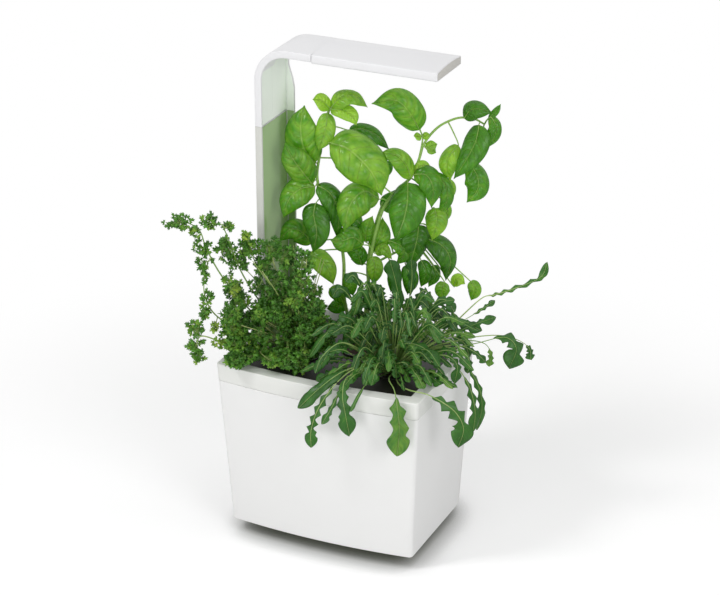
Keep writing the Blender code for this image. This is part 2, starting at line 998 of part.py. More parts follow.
def head_prism(name, inset, start_x, end_x):
    """The head's end view pushed along X."""
    bm = bmesh.new()
    ends = [[bm.verts.new((x, y, z)) for y, z in head_outline(inset)] for x in (start_x, end_x)]
    for loop in ends:
        bm.faces.new(loop)
    for step in range(len(ends[0])):
        after = (step + 1) % len(ends[0])
        bm.faces.new((ends[0][step], ends[0][after], ends[1][after], ends[1][step]))
    return mesh_from(bm, name)


def make_head():
    """Light head: a tray that opens downwards, its end cap, the board with its lamps, and the diffuser."""
    head = keep("head_shell", head_prism("head_shell", 0, head_start_x, head_end_x), white_abs)
    low = arm_top_height - head_edge_thickness
    cavity_top = arm_top_height - head_skin
    half = lamp_width / 2 - head_skin
    cavity_end = head_end_x - end_cap_thickness - end_cap_recess
    cut(
        head,
        box_mesh(
            "head_cavity",
            (head_start_x + head_skin, -half, low - overrun),
            (cavity_end - head_skin, half, cavity_top),
        ),
    )
    cut(head, head_prism("end_recess", head_skin / 2, cavity_end, head_end_x + overrun))
    middle_z = arm_top_height - lamp_thickness / 2
    mouth = box_mesh(
        "head_mouth",
        (head_start_x - overrun, -spigot_width / 2 - gap, middle_z - spigot_thickness / 2 - gap),
        (head_start_x + spigot_length + gap, spigot_width / 2 + gap, middle_z + spigot_thickness / 2 + gap),
    )
    cut(head, mouth)
    keep(
        "head_end_cap",
        head_prism("head_end_cap", head_skin / 2 + gap, cavity_end + gap, head_end_x - end_cap_recess),
        grey_abs,
    )
    start = head_start_x + head_skin + gap
    end = cavity_end - head_skin - gap
    keep(
        "diffuser",
        box_mesh("diffuser", (start, -half + gap, low), (end, half - gap, low + diffuser_thickness)),
        frosted,
    )
    make_led_board(cavity_top - gap, start + spigot_length, end)


def make_led_board(top, start, end):
    """Aluminium-backed board with rows of lamps on its underside, held up by two screws."""
    half = lamp_width / 2 - head_skin - board_margin
    low = top - board_thickness
    start += board_margin / 2
    end -= board_margin / 2
    board = keep("led_board", box_mesh("led_board", (start, -half, low), (end, half, top)), board_white)
    for row in range(led_rows):
        for column in range(led_columns):
            x = start + (end - start) * (column + 1) / (led_columns + 1)
            y = half * (2 * (row + 1) / (led_rows + 1) - 1)
            led = box_mesh(
                f"led_{row}_{column}",
                (x - led_size / 2, y - led_size / 2, low - led_height),
                (x + led_size / 2, y + led_size / 2, low + board_thickness / 2),
            )
            join(board, led)
    inset = (end - start) / (led_columns + 1) / 2
    for number, x in enumerate((start + inset, end - inset), 1):
        cut(
            board,
            rod_mesh(
                f"board_hole_{number}",
                (x, 0, low - overrun),
                (x, 0, top + overrun),
                screw_hole_radius,
                segments=screw_segments,
            ),
        )
        cut(
            bpy.data.objects["head_shell"],
            rod_mesh(
                f"head_hole_{number}",
                (x, 0, top - gap),
                (x, 0, top + board_screw_length - board_thickness),
                screw_hole_radius,
                segments=screw_segments,
            ),
        )
        keep(
            f"board_screw_{number}",
            screw_mesh(f"board_screw_{number}", (x, 0, low - gap), board_screw_length, True),
            steel,
        )


def make_control():
    """Tray under the deck for the timer board, and the supply inlet with its nut in the collar's back."""
    top = deck_bottom - gap
    low = top - control_height
    half_x, half_y = control_length / 2, control_width / 2
    housing = keep(
        "control_housing",
        box_mesh(
            "control_housing",
            (control_x - half_x, control_y - half_y, low),
            (control_x + half_x, control_y + half_y, top),
        ),
        dark_abs,
    )
    cut(
        housing,
        box_mesh(
            "control_space",
            (control_x - half_x + control_wall, control_y - half_y + control_wall, low + control_wall),
            (control_x + half_x - control_wall, control_y + half_y - control_wall, top + overrun),
        ),
    )
    board_low = low + control_wall + gap
    reach_x, reach_y = half_x - control_wall - gap, half_y - control_wall - gap
    board = keep(
        "control_board",
        box_mesh(
            "control_board",
            (control_x - reach_x, control_y - reach_y, board_low),
            (control_x + reach_x, control_y + reach_y, board_low + control_board_thickness),
        ),
        board_green,
    )
    block = box_mesh(
        "control_chip",
        (control_x - reach_x / 2, control_y - reach_y / 2, board_low + control_board_thickness / 2),
        (control_x + reach_x / 4, control_y + reach_y / 2, board_low + control_board_rise),
    )
    join(board, block)
    inlet_z = rim_height - inlet_drop
    face = back_place(inlet_z + inlet_flange_radius, 0) + gap
    bore_floor = inlet_flange_thickness - inlet_bore_depth
    profile = [
        (0, -inlet_pin_recess),
        (inlet_pin_radius, -inlet_pin_recess),
        (inlet_pin_radius, bore_floor),
        (inlet_bore_radius, bore_floor),
        (inlet_bore_radius, inlet_flange_thickness),
        (inlet_flange_radius, inlet_flange_thickness),
        (inlet_flange_radius, 0),
        (inlet_barrel_radius, 0),
        (inlet_barrel_radius, -inlet_length),
        (0, -inlet_length),
    ]
    face_turn = (math.radians(-90), 0, 0)
    keep(
        "dc_inlet",
        turned_mesh("dc_inlet", profile, (inlet_x, face, inlet_z), face_turn, small_segments),
        dark_abs,
    )
    nut_face = back_place(inlet_z - nut_radius, shell_wall + gap + tongue_wall) - gap
    ring = [
        (inlet_barrel_radius + gap, 0),
        (nut_radius, 0),
        (nut_radius, -nut_thickness),
        (inlet_barrel_radius + gap, -nut_thickness),
    ]
    keep(
        "inlet_nut",
        turned_mesh("inlet_nut", ring, (inlet_x, nut_face, inlet_z), face_turn, small_segments),
        steel,
    )


def make_pump():
    """Pump that hangs on its riser: body with a chamber, shaft, impeller, cover and inlet filter."""
    floor = foot_height + shell_floor
    low = floor + pump_clearance
    high = low + pump_height
    half_x, half_y = pump_length / 2, pump_width / 2
    front = pump_y - half_y
    axis_z = low + pump_height / 2
    body = keep(
        "pump_body",
        box_mesh("pump_body", (pump_x - half_x, front, low), (pump_x + half_x, pump_y + half_y, high)),
        dark_abs,
    )
    chamber_end = front + chamber_depth
    cut(
        body,
        rod_mesh(
            "pump_chamber",
            (pump_x, front - overrun, axis_z),
            (pump_x, chamber_end, axis_z),
            chamber_radius,
        ),
    )
    cut(
        body,
        rod_mesh(
            "shaft_seat",
            (pump_x, chamber_end - gap, axis_z),
            (pump_x, chamber_end + shaft_seat + gap, axis_z),
            shaft_radius + gap,
            segments=small_segments,
        ),
    )
    riser_foot = high - riser_seat
    cut(
        body,
        rod_mesh(
            "riser_seat",
            (pump_x, pump_y, riser_foot - gap),
            (pump_x, pump_y, high + overrun),
            riser_radius + gap,
        ),
    )
    riser_low = riser_foot
    outlet_y = front + chamber_depth / 2
    cut(
        body,
        box_mesh(
            "pump_outlet",
            (pump_x - riser_bore_radius, outlet_y, axis_z),
            (pump_x + riser_bore_radius, pump_y + riser_bore_radius, riser_foot),
        ),
    )
    keep(
        "impeller_shaft",
        rod_mesh(
            "impeller_shaft",
            (pump_x, chamber_end + shaft_seat - shaft_length, axis_z),
            (pump_x, chamber_end + shaft_seat, axis_z),
            shaft_radius,
            segments=small_segments,
        ),
        ceramic,
    )
    make_impeller(chamber_end - running_gap - impeller_length, axis_z)
    cover_face = front - gap - pump_cover_thickness
    cover = keep(
        "pump_cover",
        box_mesh("pump_cover", (pump_x - half_x, cover_face, low), (pump_x + half_x, front - gap, high)),
        dark_abs,
    )
    cut(
        cover,
        rod_mesh(
            "pump_intake",
            (pump_x, cover_face - overrun, axis_z),
            (pump_x, front + overrun, axis_z),
            pump_cover_intake,
        ),
    )
    filter_back = cover_face - gap
    strainer = keep(
        "inlet_filter",
        rod_mesh(
            "inlet_filter",
            (pump_x, filter_back - filter_thickness, axis_z),
            (pump_x, filter_back, axis_z),
            filter_radius,
        ),
        foam,
    )
    for number in range(filter_slot_count):
        z = axis_z + filter_slot_pitch * (number - (filter_slot_count - 1) / 2)
        cut(
            strainer,
            box_mesh(
                f"filter_slot_{number}",
                (
                    pump_x - filter_slot_length / 2,
                    filter_back - filter_thickness - overrun,
                    z - filter_slot_width / 2,
                ),
                (pump_x + filter_slot_length / 2, filter_back + overrun, z + filter_slot_width / 2),
            ),
        )
    riser_top = deck_bottom - gap
    ring = [
        (riser_bore_radius, riser_top),
        (riser_radius, riser_top),
        (riser_radius, riser_low),
        (riser_bore_radius, riser_low),
    ]
    keep("riser_tube", turned_mesh("riser_tube", ring, (pump_x, pump_y, 0), None, small_segments), white_rim)


def make_impeller(start_y, axis_z):
    """Impeller: a bored hub with flat blades, turning about +Y, its origin on its axis."""
    end_y = start_y + impeller_length
    impeller = keep(
        "pump_impeller",
        rod_mesh(
            "pump_impeller", (pump_x, start_y, axis_z), (pump_x, end_y, axis_z), impeller_hub_radius
        ),
        white_rim,
    )
    for number in range(blade_count // 2):
        blade = box_mesh(
            f"blade_{number}",
            (-impeller_radius, start_y, -blade_thickness / 2),
            (impeller_radius, end_y, blade_thickness / 2),
        )
        spin = Matrix.Rotation(turn / 2 * number / (blade_count // 2), 4, "Y")
        blade.transform(Matrix.Translation((pump_x, 0, axis_z)) @ spin)
        join(impeller, blade)
    cut(
        impeller,
        rod_mesh(
            "impeller_bore",
            (pump_x, start_y - overrun, axis_z),
            (pump_x, end_y + overrun, axis_z),
            impeller_bore_radius,
            segments=small_segments,
        ),
    )


def make_gauge():
    """Water level gauge: a guide tube under the deck, and a float whose stem comes up through the deck."""
    top = deck_bottom - gap
    low = top - guide_length
    ring = [
        (guide_radius - guide_wall, top),
        (guide_radius, top),
        (guide_radius, low),
        (guide_radius - guide_wall - guide_lip, low),
        (guide_radius - guide_wall - guide_lip, low + guide_wall),
        (guide_radius - guide_wall, low + guide_wall),
    ]
    keep("float_guide", turned_mesh("float_guide", ring, (0, float_y, 0), None, cup_segments), white_rim)
    foot = low + guide_wall + gap
    knob_low = deck_top + gap
    stem = [
        (0, knob_low + float_knob_height),
        (float_knob_radius, knob_low + float_knob_height),
        (float_knob_radius, knob_low),
        (float_stem_radius, knob_low),
        (float_stem_radius, foot + float_height),
        (float_radius, foot + float_height),
        (float_radius, foot),
        (0, foot),
    ]
    keep("level_float", turned_mesh("level_float", stem, (0, float_y, 0), None, small_segments), grey_abs)


def make_pods():
    """Three pods: a cup that hangs by its flange in the deck, and the foam plug that holds the roots."""
    low = deck_top + gap
    foot = low - cup_depth
    for number, (x, y) in enumerate(pod_places, 1):
        ring = [
            (cup_radius - cup_wall, pod_top),
            (cup_flange_radius, pod_top),
            (cup_flange_radius, low),
            (cup_radius, low),
            (cup_foot_radius, foot),
            (cup_drain_radius, foot),
            (cup_drain_radius, foot + cup_wall),
            (cup_foot_radius - cup_wall, foot + cup_wall),
        ]
        keep(
            f"pod_cup_{number}",
            turned_mesh(f"pod_cup_{number}", ring, (x, y, 0), None, cup_segments),
            dark_abs,
        )
        plug = rod_mesh(
            f"grow_sponge_{number}",
            (x, y, foot + cup_wall + gap),
            (x, y, sponge_top),
            sponge_radius_foot,
            sponge_radius_top,
            small_segments,
        )
        keep(f"grow_sponge_{number}", plug, foam)


class Plant:
    """Stems and leaves whose places are shares of the plant's reach and height, from the pod's middle."""

    def __init__(self, name, place):
        self.name = name
        self.foot = Vector((*place, plant_foot))
        self.across = Vector((math.cos(plant_turn), math.sin(plant_turn), 0))
        self.back = Vector((-math.sin(plant_turn), math.cos(plant_turn), 0))
        self.tubes = bpy.data.curves.new(name + "_stems", "CURVE")
        self.tubes.dimensions = "3D"
        self.tubes.bevel_depth = 1
        self.tubes.bevel_resolution = 0
        self.tubes.use_fill_caps = True
        self.blades = bmesh.new()

    def at(self, across, back, up):
        """The point at these shares."""
        flat = self.across * across + self.back * back
        return self.foot + Vector((flat.x * plant_reach_x, flat.y * plant_reach_y, up * plant_height))

    def rooted(self, shares):
        """The points of a stem whose first point is inside the crown."""
        points = [self.at(*place) for place in shares]
        points[0] += Vector((0, 0, crown_height / 2))
        return points

    def stem(self, points, radius, end_radius):
        """A stem through points, thinning from radius to end_radius."""
        spline = self.tubes.splines.new("POLY")
        spline.points.add(len(points) - 1)
        for number, (place, point) in enumerate(zip(spline.points, points)):
            place.co = (*point, 1)
            place.radius = radius + (end_radius - radius) * number / (len(points) - 1)

    def blade(self, spine, widths, facing, crown, steps=None):
        """A leaf along a spine of points, as an open strip three points wide, turned to facing."""
        rows = []
        side = (spine[-1] - spine[0]).cross(facing).normalized()
        for number, (point, width) in enumerate(zip(spine, widths)):
            before = spine[max(number - 1, 0)]
            after = spine[min(number + 1, len(spine) - 1)]
            normal = side.cross(after - before).normalized()
            row = [
                point - side * width / 2 - normal * crown * width,
                point,
                point + side * width / 2 - normal * crown * width,
            ]
            rows.append([self.blades.verts.new(place) for place in row])
        for first, second in zip(rows, rows[1:]):
            for step in range(2):
                self.blades.faces.new((first[step], first[step + 1], second[step + 1], second[step]))

    def build(self, material):
        """Solidify the leaves and join them to their stems."""
        shape = bpy.data.objects.new(self.name + "_stems", self.tubes)
        helpers.objects.link(shape)
        top = self.foot + Vector((0, 0, crown_height))
        crown = rod_mesh(self.name + "_crown", self.foot, top, crown_radius, crown_top_radius, small_segments)
        stems = helper(
            self.name + "_stem_solid", both_meshes(self.name + "_stem_solid", solid_from(shape), crown)
        )
        mesh = bpy.data.meshes.new(self.name)
        self.blades.to_mesh(mesh)
        self.blades.free()
        plant = keep(self.name, mesh, material)
        thick = plant.modifiers.new("thickness", "SOLIDIFY")
        thick.thickness = leaf_thickness
        thick.offset = 0
        boolean(plant, stems, "UNION", itself=True)
        return plant


def arc_points(start, end, rise, steps):
    """Points from start to end, bulging by the vector rise in the middle."""
    return [
        start.lerp(end, step / steps) + rise * math.sin(math.pi * step / steps)
        for step in range(steps + 1)
    ]


# Each basil stem is a list of (across, back, up) shares.
basil_stem_shares = {
    "left": [(-0.02, 0.0, 0.0), (-0.17, 0.02, 0.26), (-0.18, 0.04, 0.49), (-0.27, 0.04, 0.69), (-0.38, 0.05, 0.91),
             (-0.41, 0.04, 1.03), (-0.37, 0.03, 1.16), (-0.33, 0.02, 1.25)],
    "right": [(0.03, 0.0, 0.0), (0.07, -0.02, 0.31), (0.11, -0.03, 0.51), (0.22, -0.03, 0.73), (0.37, 0.0, 0.84),
              (0.51, 0.0, 0.91), (0.60, 0.02, 0.99), (0.63, 0.02, 1.06)],
    "twig": [(0.60, 0.02, 0.99), (0.62, 0.03, 1.12), (0.605, 0.03, 1.16)],
    "bough": [
        (0.63, 0.02, 1.06),
        (0.80, 0.05, 1.16),
        (0.94, 0.08, 1.20),
        (1.06, 0.09, 1.21),
        (1.17, 0.08, 1.19),
        (1.25, 0.06, 1.17),
    ],
    "low": [(0.11, -0.03, 0.51), (0.40, 0.05, 0.50), (0.63, 0.08, 0.60), (0.72, 0.06, 0.74)],
    "middle": [(0.0, 0.02, 0.0), (0.10, 0.10, 0.24), (0.12, 0.12, 0.50), (0.20, 0.10, 0.78)],
}

# Each basil leaf: stem, share of the way along it, base, tip, width as a share of length, and arch.
basil_leaf_shares = [
    ("left", 1.0, (-0.33, 0.02, 1.26), (-0.48, -0.06, 1.30), 0.95, 0.12),
    ("left", 1.0, (-0.29, 0.02, 1.26), (0.08, -0.08, 1.25), 0.55, 0.30),
    ("left", 1.0, (-0.31, 0.00, 1.24), (-0.05, -0.16, 1.15), 0.62, 0.12),
    ("left", 1.0, (-0.34, 0.00, 1.22), (-0.41, -0.14, 1.03), 0.55, 0.12),
    ("left", 0.62, (-0.47, 0.06, 0.99), (-0.59, 0.10, 1.26), 0.62, 0.08),
    ("left", 0.55, (-0.46, 0.00, 0.90), (-0.72, -0.20, 1.08), 0.62, 0.12),
    ("right", 0.45, (0.30, -0.08, 0.98), (0.18, -0.42, 0.76), 0.66, 0.16),
    ("left", 0.55, (-0.47, 0.00, 0.87), (-0.81, -0.12, 0.70), 0.58, 0.12),
    ("left", 0.52, (-0.44, 0.00, 0.86), (-0.25, -0.08, 0.60), 0.40, 0.12),
    ("left", 0.45, (-0.46, -0.06, 0.78), (-0.43, -0.22, 0.51), 0.46, 0.10),
    ("right", 0.42, (0.17, -0.05, 0.80), (-0.16, -0.28, 0.62), 0.72, 0.14),
    ("right", 0.28, (0.02, 0.00, 0.52), (-0.31, -0.10, 0.56), 0.60, 0.14),
    ("middle", 0.55, (0.06, 0.10, 0.52), (-0.02, 0.02, 0.72), 0.55, 0.10),
    ("middle", 0.60, (0.16, 0.08, 0.54), (0.28, 0.00, 0.74), 0.55, 0.10),
    ("right", 0.30, (0.12, -0.05, 0.49), (0.12, -0.12, 0.34), 0.55, 0.10),
    ("left", 0.35, (-0.24, 0.03, 0.56), (-0.28, -0.05, 0.34), 0.60, 0.10),
    ("left", 0.42, (-0.50, 0.10, 0.66), (-0.84, 0.02, 0.56), 0.56, 0.12),
    ("left", 0.20, (-0.22, 0.05, 0.30), (-0.30, 0.00, 0.22), 0.60, 0.08),
    ("twig", 1.0, (0.605, 0.03, 1.16), (0.14, -0.10, 1.27), 0.50, 0.16),
    ("right", 1.0, (0.64, 0.00, 1.06), (0.74, -0.08, 1.02), 0.70, 0.10),
    ("bough", 0.72, (1.06, 0.07, 1.20), (1.30, -0.02, 1.26), 0.75, 0.10),
    ("bough", 0.90, (1.24, 0.05, 1.20), (1.42, 0.00, 1.28), 0.22, 0.05),
    ("bough", 1.0, (1.26, 0.02, 1.18), (1.27, -0.06, 1.03), 0.55, 0.10),
    ("bough", 0.90, (1.17, 0.02, 1.16), (0.95, -0.08, 0.88), 0.42, 0.12),
    ("bough", 0.80, (1.05, 0.05, 1.14), (0.90, 0.00, 0.89), 0.45, 0.12),
    ("bough", 1.0, (1.20, 0.05, 1.00), (1.10, -0.04, 0.77), 0.50, 0.14),
    ("right", 0.72, (0.50, -0.03, 0.92), (0.19, -0.12, 1.03), 0.48, 0.14),
    ("right", 0.66, (0.46, -0.06, 0.86), (0.35, -0.26, 0.60), 0.66, 0.12),
    ("right", 0.76, (0.55, -0.03, 0.91), (0.72, -0.18, 0.76), 0.56, 0.12),
    ("right", 0.80, (0.62, 0.00, 0.92), (0.80, -0.06, 0.74), 0.46, 0.12),
    ("low", 1.0, (0.73, 0.04, 0.75), (0.72, -0.04, 0.60), 0.66, 0.10),
    ("low", 0.85, (0.68, 0.08, 0.62), (0.90, 0.06, 0.38), 0.48, 0.16),
    ("low", 0.70, (0.56, 0.08, 0.64), (0.58, 0.02, 0.46), 0.50, 0.12),
    ("middle", 0.90, (0.18, 0.10, 0.76), (0.22, 0.04, 0.88), 0.60, 0.10),
]


leaf_cup_share = 0.10
petiole_taper_share = 0.7
leaf_lean_share = 0.9
leaf_tip_share = 0.10
leaf_swell_share = 0.75


def leaf_widths(length, width_share, steps):
    """Widths along an ovate leaf: widest a third of the way, narrow at both ends."""
    widths = []
    for step in range(steps + 1):
        share = step / steps
        swell = math.sin(math.pi * share ** leaf_swell_share)
        widths.append(length * width_share * max(swell, leaf_tip_share))
    return widths


def stem_point(points, place):
    """The point at a place along a stem, counted by its points."""
    first = min(int(place), len(points) - 2)
    return points[first].lerp(points[first + 1], place - first)


def make_basil():
    """Basil: two tall stems with pairs of cupped, ovate leaves, and a bough that arches over."""
    plant = Plant("basil_plant", pod_places[1])
    stems = {}
    for key, path in basil_stem_shares.items():
        rooted = path[0][2] == 0
        stems[key] = plant.rooted(path) if rooted else [plant.at(*place) for place in path]
    for key, points in stems.items():
        main = key in ("left", "right", "middle")
        plant.stem(points, basil_stem_radius if main else basil_twig_radius, basil_petiole_radius)
    viewer = -plant.back + Vector((0, 0, leaf_lean_share))
    for key, share, base, tip, width_share, arch in basil_leaf_shares:
        start, end = plant.at(*base), plant.at(*tip)
        length = (end - start).length
        facing = viewer.normalized()
        steps = 4 if length > basil_long_leaf else 3
        spine = arc_points(start, end, facing * length * arch, steps)
        plant.blade(spine, leaf_widths(length, width_share, steps), facing, leaf_cup_share)
        joint = stem_point(stems[key], share * (len(stems[key]) - 1))
        plant.stem([joint, start, spine[1]], basil_petiole_radius, basil_petiole_radius * petiole_taper_share)
    return plant.build(basil_green)


# Each parsley stalk: points as (across, back, up) shares from the pod.
parsley_stalk_shares = [
    [(-0.01, 0.0, 0.0), (-0.41, -0.2, 0.206), (-0.77, -0.38, 0.457), (-0.95, -0.44, 0.629),
     (-1.03, -0.5, 0.751), (-1.21, -0.55, 0.806)],
    [(-0.01, 0.0, 0.0), (-0.51, -0.2, 0.131), (-0.87, -0.36, 0.273), (-0.99, -0.42, 0.395),
     (-0.99, -0.42, 0.505)],
    [(-0.01, 0.0, 0.0), (-0.53, -0.2, 0.071), (-0.81, -0.38, 0.142), (-1.03, -0.46, 0.193),
     (-1.09, -0.46, 0.143), (-1.07, -0.46, 0.083)],
    [(-0.01, 0.0, 0.0), (-0.33, -0.15, 0.23), (-0.6, -0.28, 0.472), (-0.73, -0.38, 0.667),
     (-0.79, -0.46, 0.768)],
    [(-0.01, 0.0, 0.0), (-0.23, -0.14, 0.228), (-0.41, -0.24, 0.439), (-0.53, -0.32, 0.635)],
    [(-0.01, 0.0, 0.0), (-0.13, -0.14, 0.228), (-0.25, -0.26, 0.468), (-0.32, -0.32, 0.625)],
    [(0.01, 0.0, 0.0), (-0.01, -0.16, 0.232), (-0.01, -0.34, 0.434), (0.01, -0.36, 0.563)],
    [(-0.01, 0.0, 0.0), (-0.37, -0.2, 0.106), (-0.61, -0.34, 0.209), (-0.69, -0.36, 0.318)],
    [(-0.01, 0.0, 0.0), (-0.25, -0.18, 0.126), (-0.41, -0.3, 0.226), (-0.44, -0.34, 0.304)],
    [(0.0, 0.0, 0.0), (-0.13, -0.2, 0.131), (-0.19, -0.34, 0.269)],
    [(0.02, 0.0, 0.0), (0.03, -0.2, 0.131), (0.03, -0.36, 0.283)],
    [(-0.01, 0.0, 0.0), (-0.33, -0.25, 0.081), (-0.63, -0.4, 0.131)],
]
# Each spray: its middle as (across, back, up) shares, then half its spread across and up.
parsley_spray_shares = [
    ((-1.235, -0.55, 0.796), (0.165, 0.045)),
    ((-0.905, -0.5, 0.791), (0.135, 0.04)),
    ((-0.735, -0.42, 0.753), (0.075, 0.022)),
    ((-1.065, -0.5, 0.739), (0.075, 0.033)),
    ((-1.005, -0.46, 0.653), (0.105, 0.04)),
    ((-0.995, -0.44, 0.572), (0.115, 0.033)),
    ((-0.995, -0.42, 0.49), (0.065, 0.035)),
    ((-0.75, -0.38, 0.472), (0.06, 0.045)),
    ((-0.965, -0.42, 0.388), (0.065, 0.043)),
    ((-1.0, -0.42, 0.32), (0.07, 0.045)),
    ((-1.08, -0.46, 0.226), (0.13, 0.058)),
    ((-1.095, -0.46, 0.148), (0.105, 0.035)),
    ((-1.065, -0.46, 0.086), (0.085, 0.037)),
    ((-0.905, -0.42, 0.228), (0.055, 0.033)),
    ((-0.855, -0.42, 0.15), (0.075, 0.03)),
    ((-0.68, -0.34, 0.404), (0.04, 0.02)),
    ((-0.56, -0.34, 0.699), (0.04, 0.02)),
    ((-0.765, -0.34, 0.619), (0.135, 0.07)),
    ((-0.54, -0.32, 0.632), (0.13, 0.068)),
    ((-0.32, -0.32, 0.622), (0.13, 0.068)),
    ((-0.16, -0.34, 0.574), (0.11, 0.065)),
    ((-0.64, -0.3, 0.546), (0.13, 0.055)),
    ((-0.37, -0.3, 0.521), (0.14, 0.06)),
    ((0.015, -0.36, 0.558), (0.125, 0.075)),
    ((-0.27, -0.34, 0.444), (0.14, 0.065)),
    ((0.0, -0.4, 0.446), (0.16, 0.075)),
    ((-0.21, -0.36, 0.368), (0.14, 0.055)),
    ((-0.68, -0.36, 0.318), (0.13, 0.065)),
    ((-0.44, -0.34, 0.304), (0.13, 0.065)),
    ((-0.7, -0.38, 0.212), (0.13, 0.065)),
    ((-0.45, -0.38, 0.192), (0.14, 0.065)),
    ((-0.66, -0.4, 0.136), (0.13, 0.055)),
    ((-0.42, -0.42, 0.105), (0.13, 0.05)),
    ((-0.2, -0.36, 0.268), (0.13, 0.065)),
    ((0.03, -0.38, 0.284), (0.13, 0.068)),
    ((-0.18, -0.38, 0.152), (0.13, 0.065)),
    ((0.045, -0.36, 0.158), (0.115, 0.065)),
    ((-0.15, -0.42, 0.085), (0.12, 0.04)),
    ((0.055, -0.4, 0.096), (0.095, 0.035)),
]
spray_width_shares = (0.40, 1.00, 0.40)
spray_bulge_share = 0.20
wide_spray_share = 0.12
facing_share = 0.6


def make_parsley():
    """Curly parsley: thin stalks, and sprays of leaflets as bulged blades, crossed where they are wide."""
    plant = Plant("parsley_plant", pod_places[0])
    facing = (Vector((0, 0, facing_share)) - plant.back).normalized()
    steps = len(spray_width_shares) - 1
    points = []
    for path in parsley_stalk_shares:
        stalk = plant.rooted(path)
        plant.stem(stalk, parsley_stalk_radius, parsley_twig_radius)
        points += [stem_point(stalk, number / 2) for number in range(1, 2 * len(stalk) - 1)]
    for middle, (spread_across, spread_up) in parsley_spray_shares:
        centre = plant.at(*middle)
        ways = [(plant.at(middle[0] + spread_across, middle[1], middle[2]) - centre, facing)]
        if spread_across > wide_spray_share:
            ways.append(
                (plant.at(middle[0], middle[1] + spread_across / 2, middle[2]) - centre, plant.across)
            )
        for reach, towards in ways:
            bulge = towards * reach.length * spray_bulge_share
            spine = arc_points(centre - reach, centre + reach, bulge, steps)
            widths = [2 * spread_up * plant_height * share for share in spray_width_shares]
            plant.blade(spine, widths, towards, spray_bulge_share)
        joint = min(points, key=lambda place: (place - centre).length)
        plant.stem(
            [joint, centre + facing * ways[0][0].length * spray_bulge_share],
            parsley_twig_radius,
            parsley_twig_radius,
        )
    return plant.build(parsley_green)


# Each rocket leaf: its path as (across, back, up) shares, where its blade starts, and its width as a share.
rocket_leaf_shares = [
    ([(-0.02, -0.02, 0.0), (-0.3, -0.35, 0.101), (-0.51, -0.6, 0.132),
      (-0.74, -0.76, 0.084), (-0.96, -0.8, -0.013)], 0.45, 0.143),
    ([(-0.02, -0.02, 0.0), (-0.33, -0.4, 0.111), (-0.56, -0.7, 0.102), (-0.75, -0.84, 0.0),
      (-0.83, -0.86, -0.116), (-0.83, -0.86, -0.206)], 0.42, 0.143),
    ([(-0.02, -0.02, 0.0), (-0.3, -0.45, 0.091), (-0.47, -0.7, 0.122),
      (-0.51, -0.86, 0.069), (-0.48, -0.92, -0.019), (-0.44, -0.92, -0.129)], 0.45, 0.181),
    ([(0.017, -0.02, 0.0), (-0.04, -0.5, 0.071), (0.01, -0.86, 0.094), (0.04, -1.02, 0.037),
      (0.06, -1.06, -0.065), (0.04, -1.06, -0.2)], 0.5, 0.238),
    ([(0.02, -0.02, 0.0), (0.06, -0.5, 0.046), (0.16, -0.8, 0.082), (0.34, -0.9, 0.082),
      (0.51, -0.94, 0.045), (0.64, -0.94, -0.01), (0.71, -0.94, -0.09),
      (0.66, -0.94, -0.185)], 0.48, 0.238),
    ([(0.02, -0.02, 0.0), (0.38, -0.1, 0.12), (0.6, -0.2, 0.096), (0.78, -0.2, -0.019),
      (0.86, -0.2, -0.159), (0.85, -0.2, -0.274)], 0.55, 0.133),
    ([(0.02, 0.0, 0.0), (0.28, -0.03, 0.096), (0.54, -0.05, 0.13), (0.74, -0.05, 0.06),
      (0.85, -0.05, -0.02), (0.92, -0.05, -0.1), (0.94, -0.05, -0.195),
      (0.89, -0.05, -0.305)], 0.48, 0.114),
    ([(0.02, 0.0, 0.0), (0.26, -0.05, 0.08), (0.56, -0.05, 0.125), (0.88, -0.05, 0.16),
      (1.16, -0.06, 0.192), (1.28, -0.08, 0.136), (1.21, -0.08, 0.031)], 0.6, 0.229),
    ([(0.02, 0.0, 0.0), (0.33, 0.0, 0.11), (0.73, 0.0, 0.17), (1.08, 0.0, 0.19),
      (1.3, 0.0, 0.165), (1.42, 0.0, 0.12), (1.44, 0.0, 0.06)], 0.78, 0.114),
    ([(0.017, 0.02, 0.0), (0.38, 0.05, 0.11), (0.74, 0.1, 0.28), (0.93, 0.12, 0.361),
      (1.05, 0.12, 0.376), (1.24, 0.14, 0.402), (1.52, 0.16, 0.458), (1.59, 0.16, 0.538)], 0.5, 0.086),
    ([(0.017, 0.0, 0.0), (0.28, 0.02, 0.106), (0.58, 0.05, 0.17), (0.82, 0.05, 0.23),
      (1.07, 0.05, 0.275)], 0.6, 0.105),
    ([(0.017, 0.0, 0.0), (0.2, 0.05, 0.11), (0.46, 0.08, 0.204), (0.7, 0.08, 0.239),
      (0.93, 0.08, 0.199)], 0.5, 0.133),
    ([(-0.02, 0.0, 0.0), (-0.2, -0.1, 0.115), (-0.3, -0.2, 0.221), (-0.47, -0.28, 0.282),
      (-0.67, -0.32, 0.28)], 0.45, 0.114),
    ([(0.017, 0.02, 0.0), (0.0, 0.05, 0.16), (0.07, 0.06, 0.328), (0.03, 0.06, 0.458),
      (-0.03, 0.04, 0.572)], 0.45, 0.171),
    ([(0.02, -0.02, 0.0), (0.0, -0.15, 0.14), (0.16, -0.2, 0.191), (0.34, -0.28, 0.177),
      (0.49, -0.32, 0.105)], 0.45, 0.152),
    ([(-0.02, 0.02, 0.0), (-0.14, 0.03, 0.139), (-0.08, 0.02, 0.286), (-0.24, 0.0, 0.355),
      (-0.43, -0.03, 0.336)], 0.5, 0.133),
    ([(-0.017, -0.02, 0.0), (-0.37, -0.25, 0.131), (-0.52, -0.35, 0.191),
      (-0.68, -0.42, 0.19)], 0.45, 0.105),
]
rocket_lobe_shares = (0.2, 0.9, 0.7, 1.0, 0.4)
rocket_cup_share = 0.10


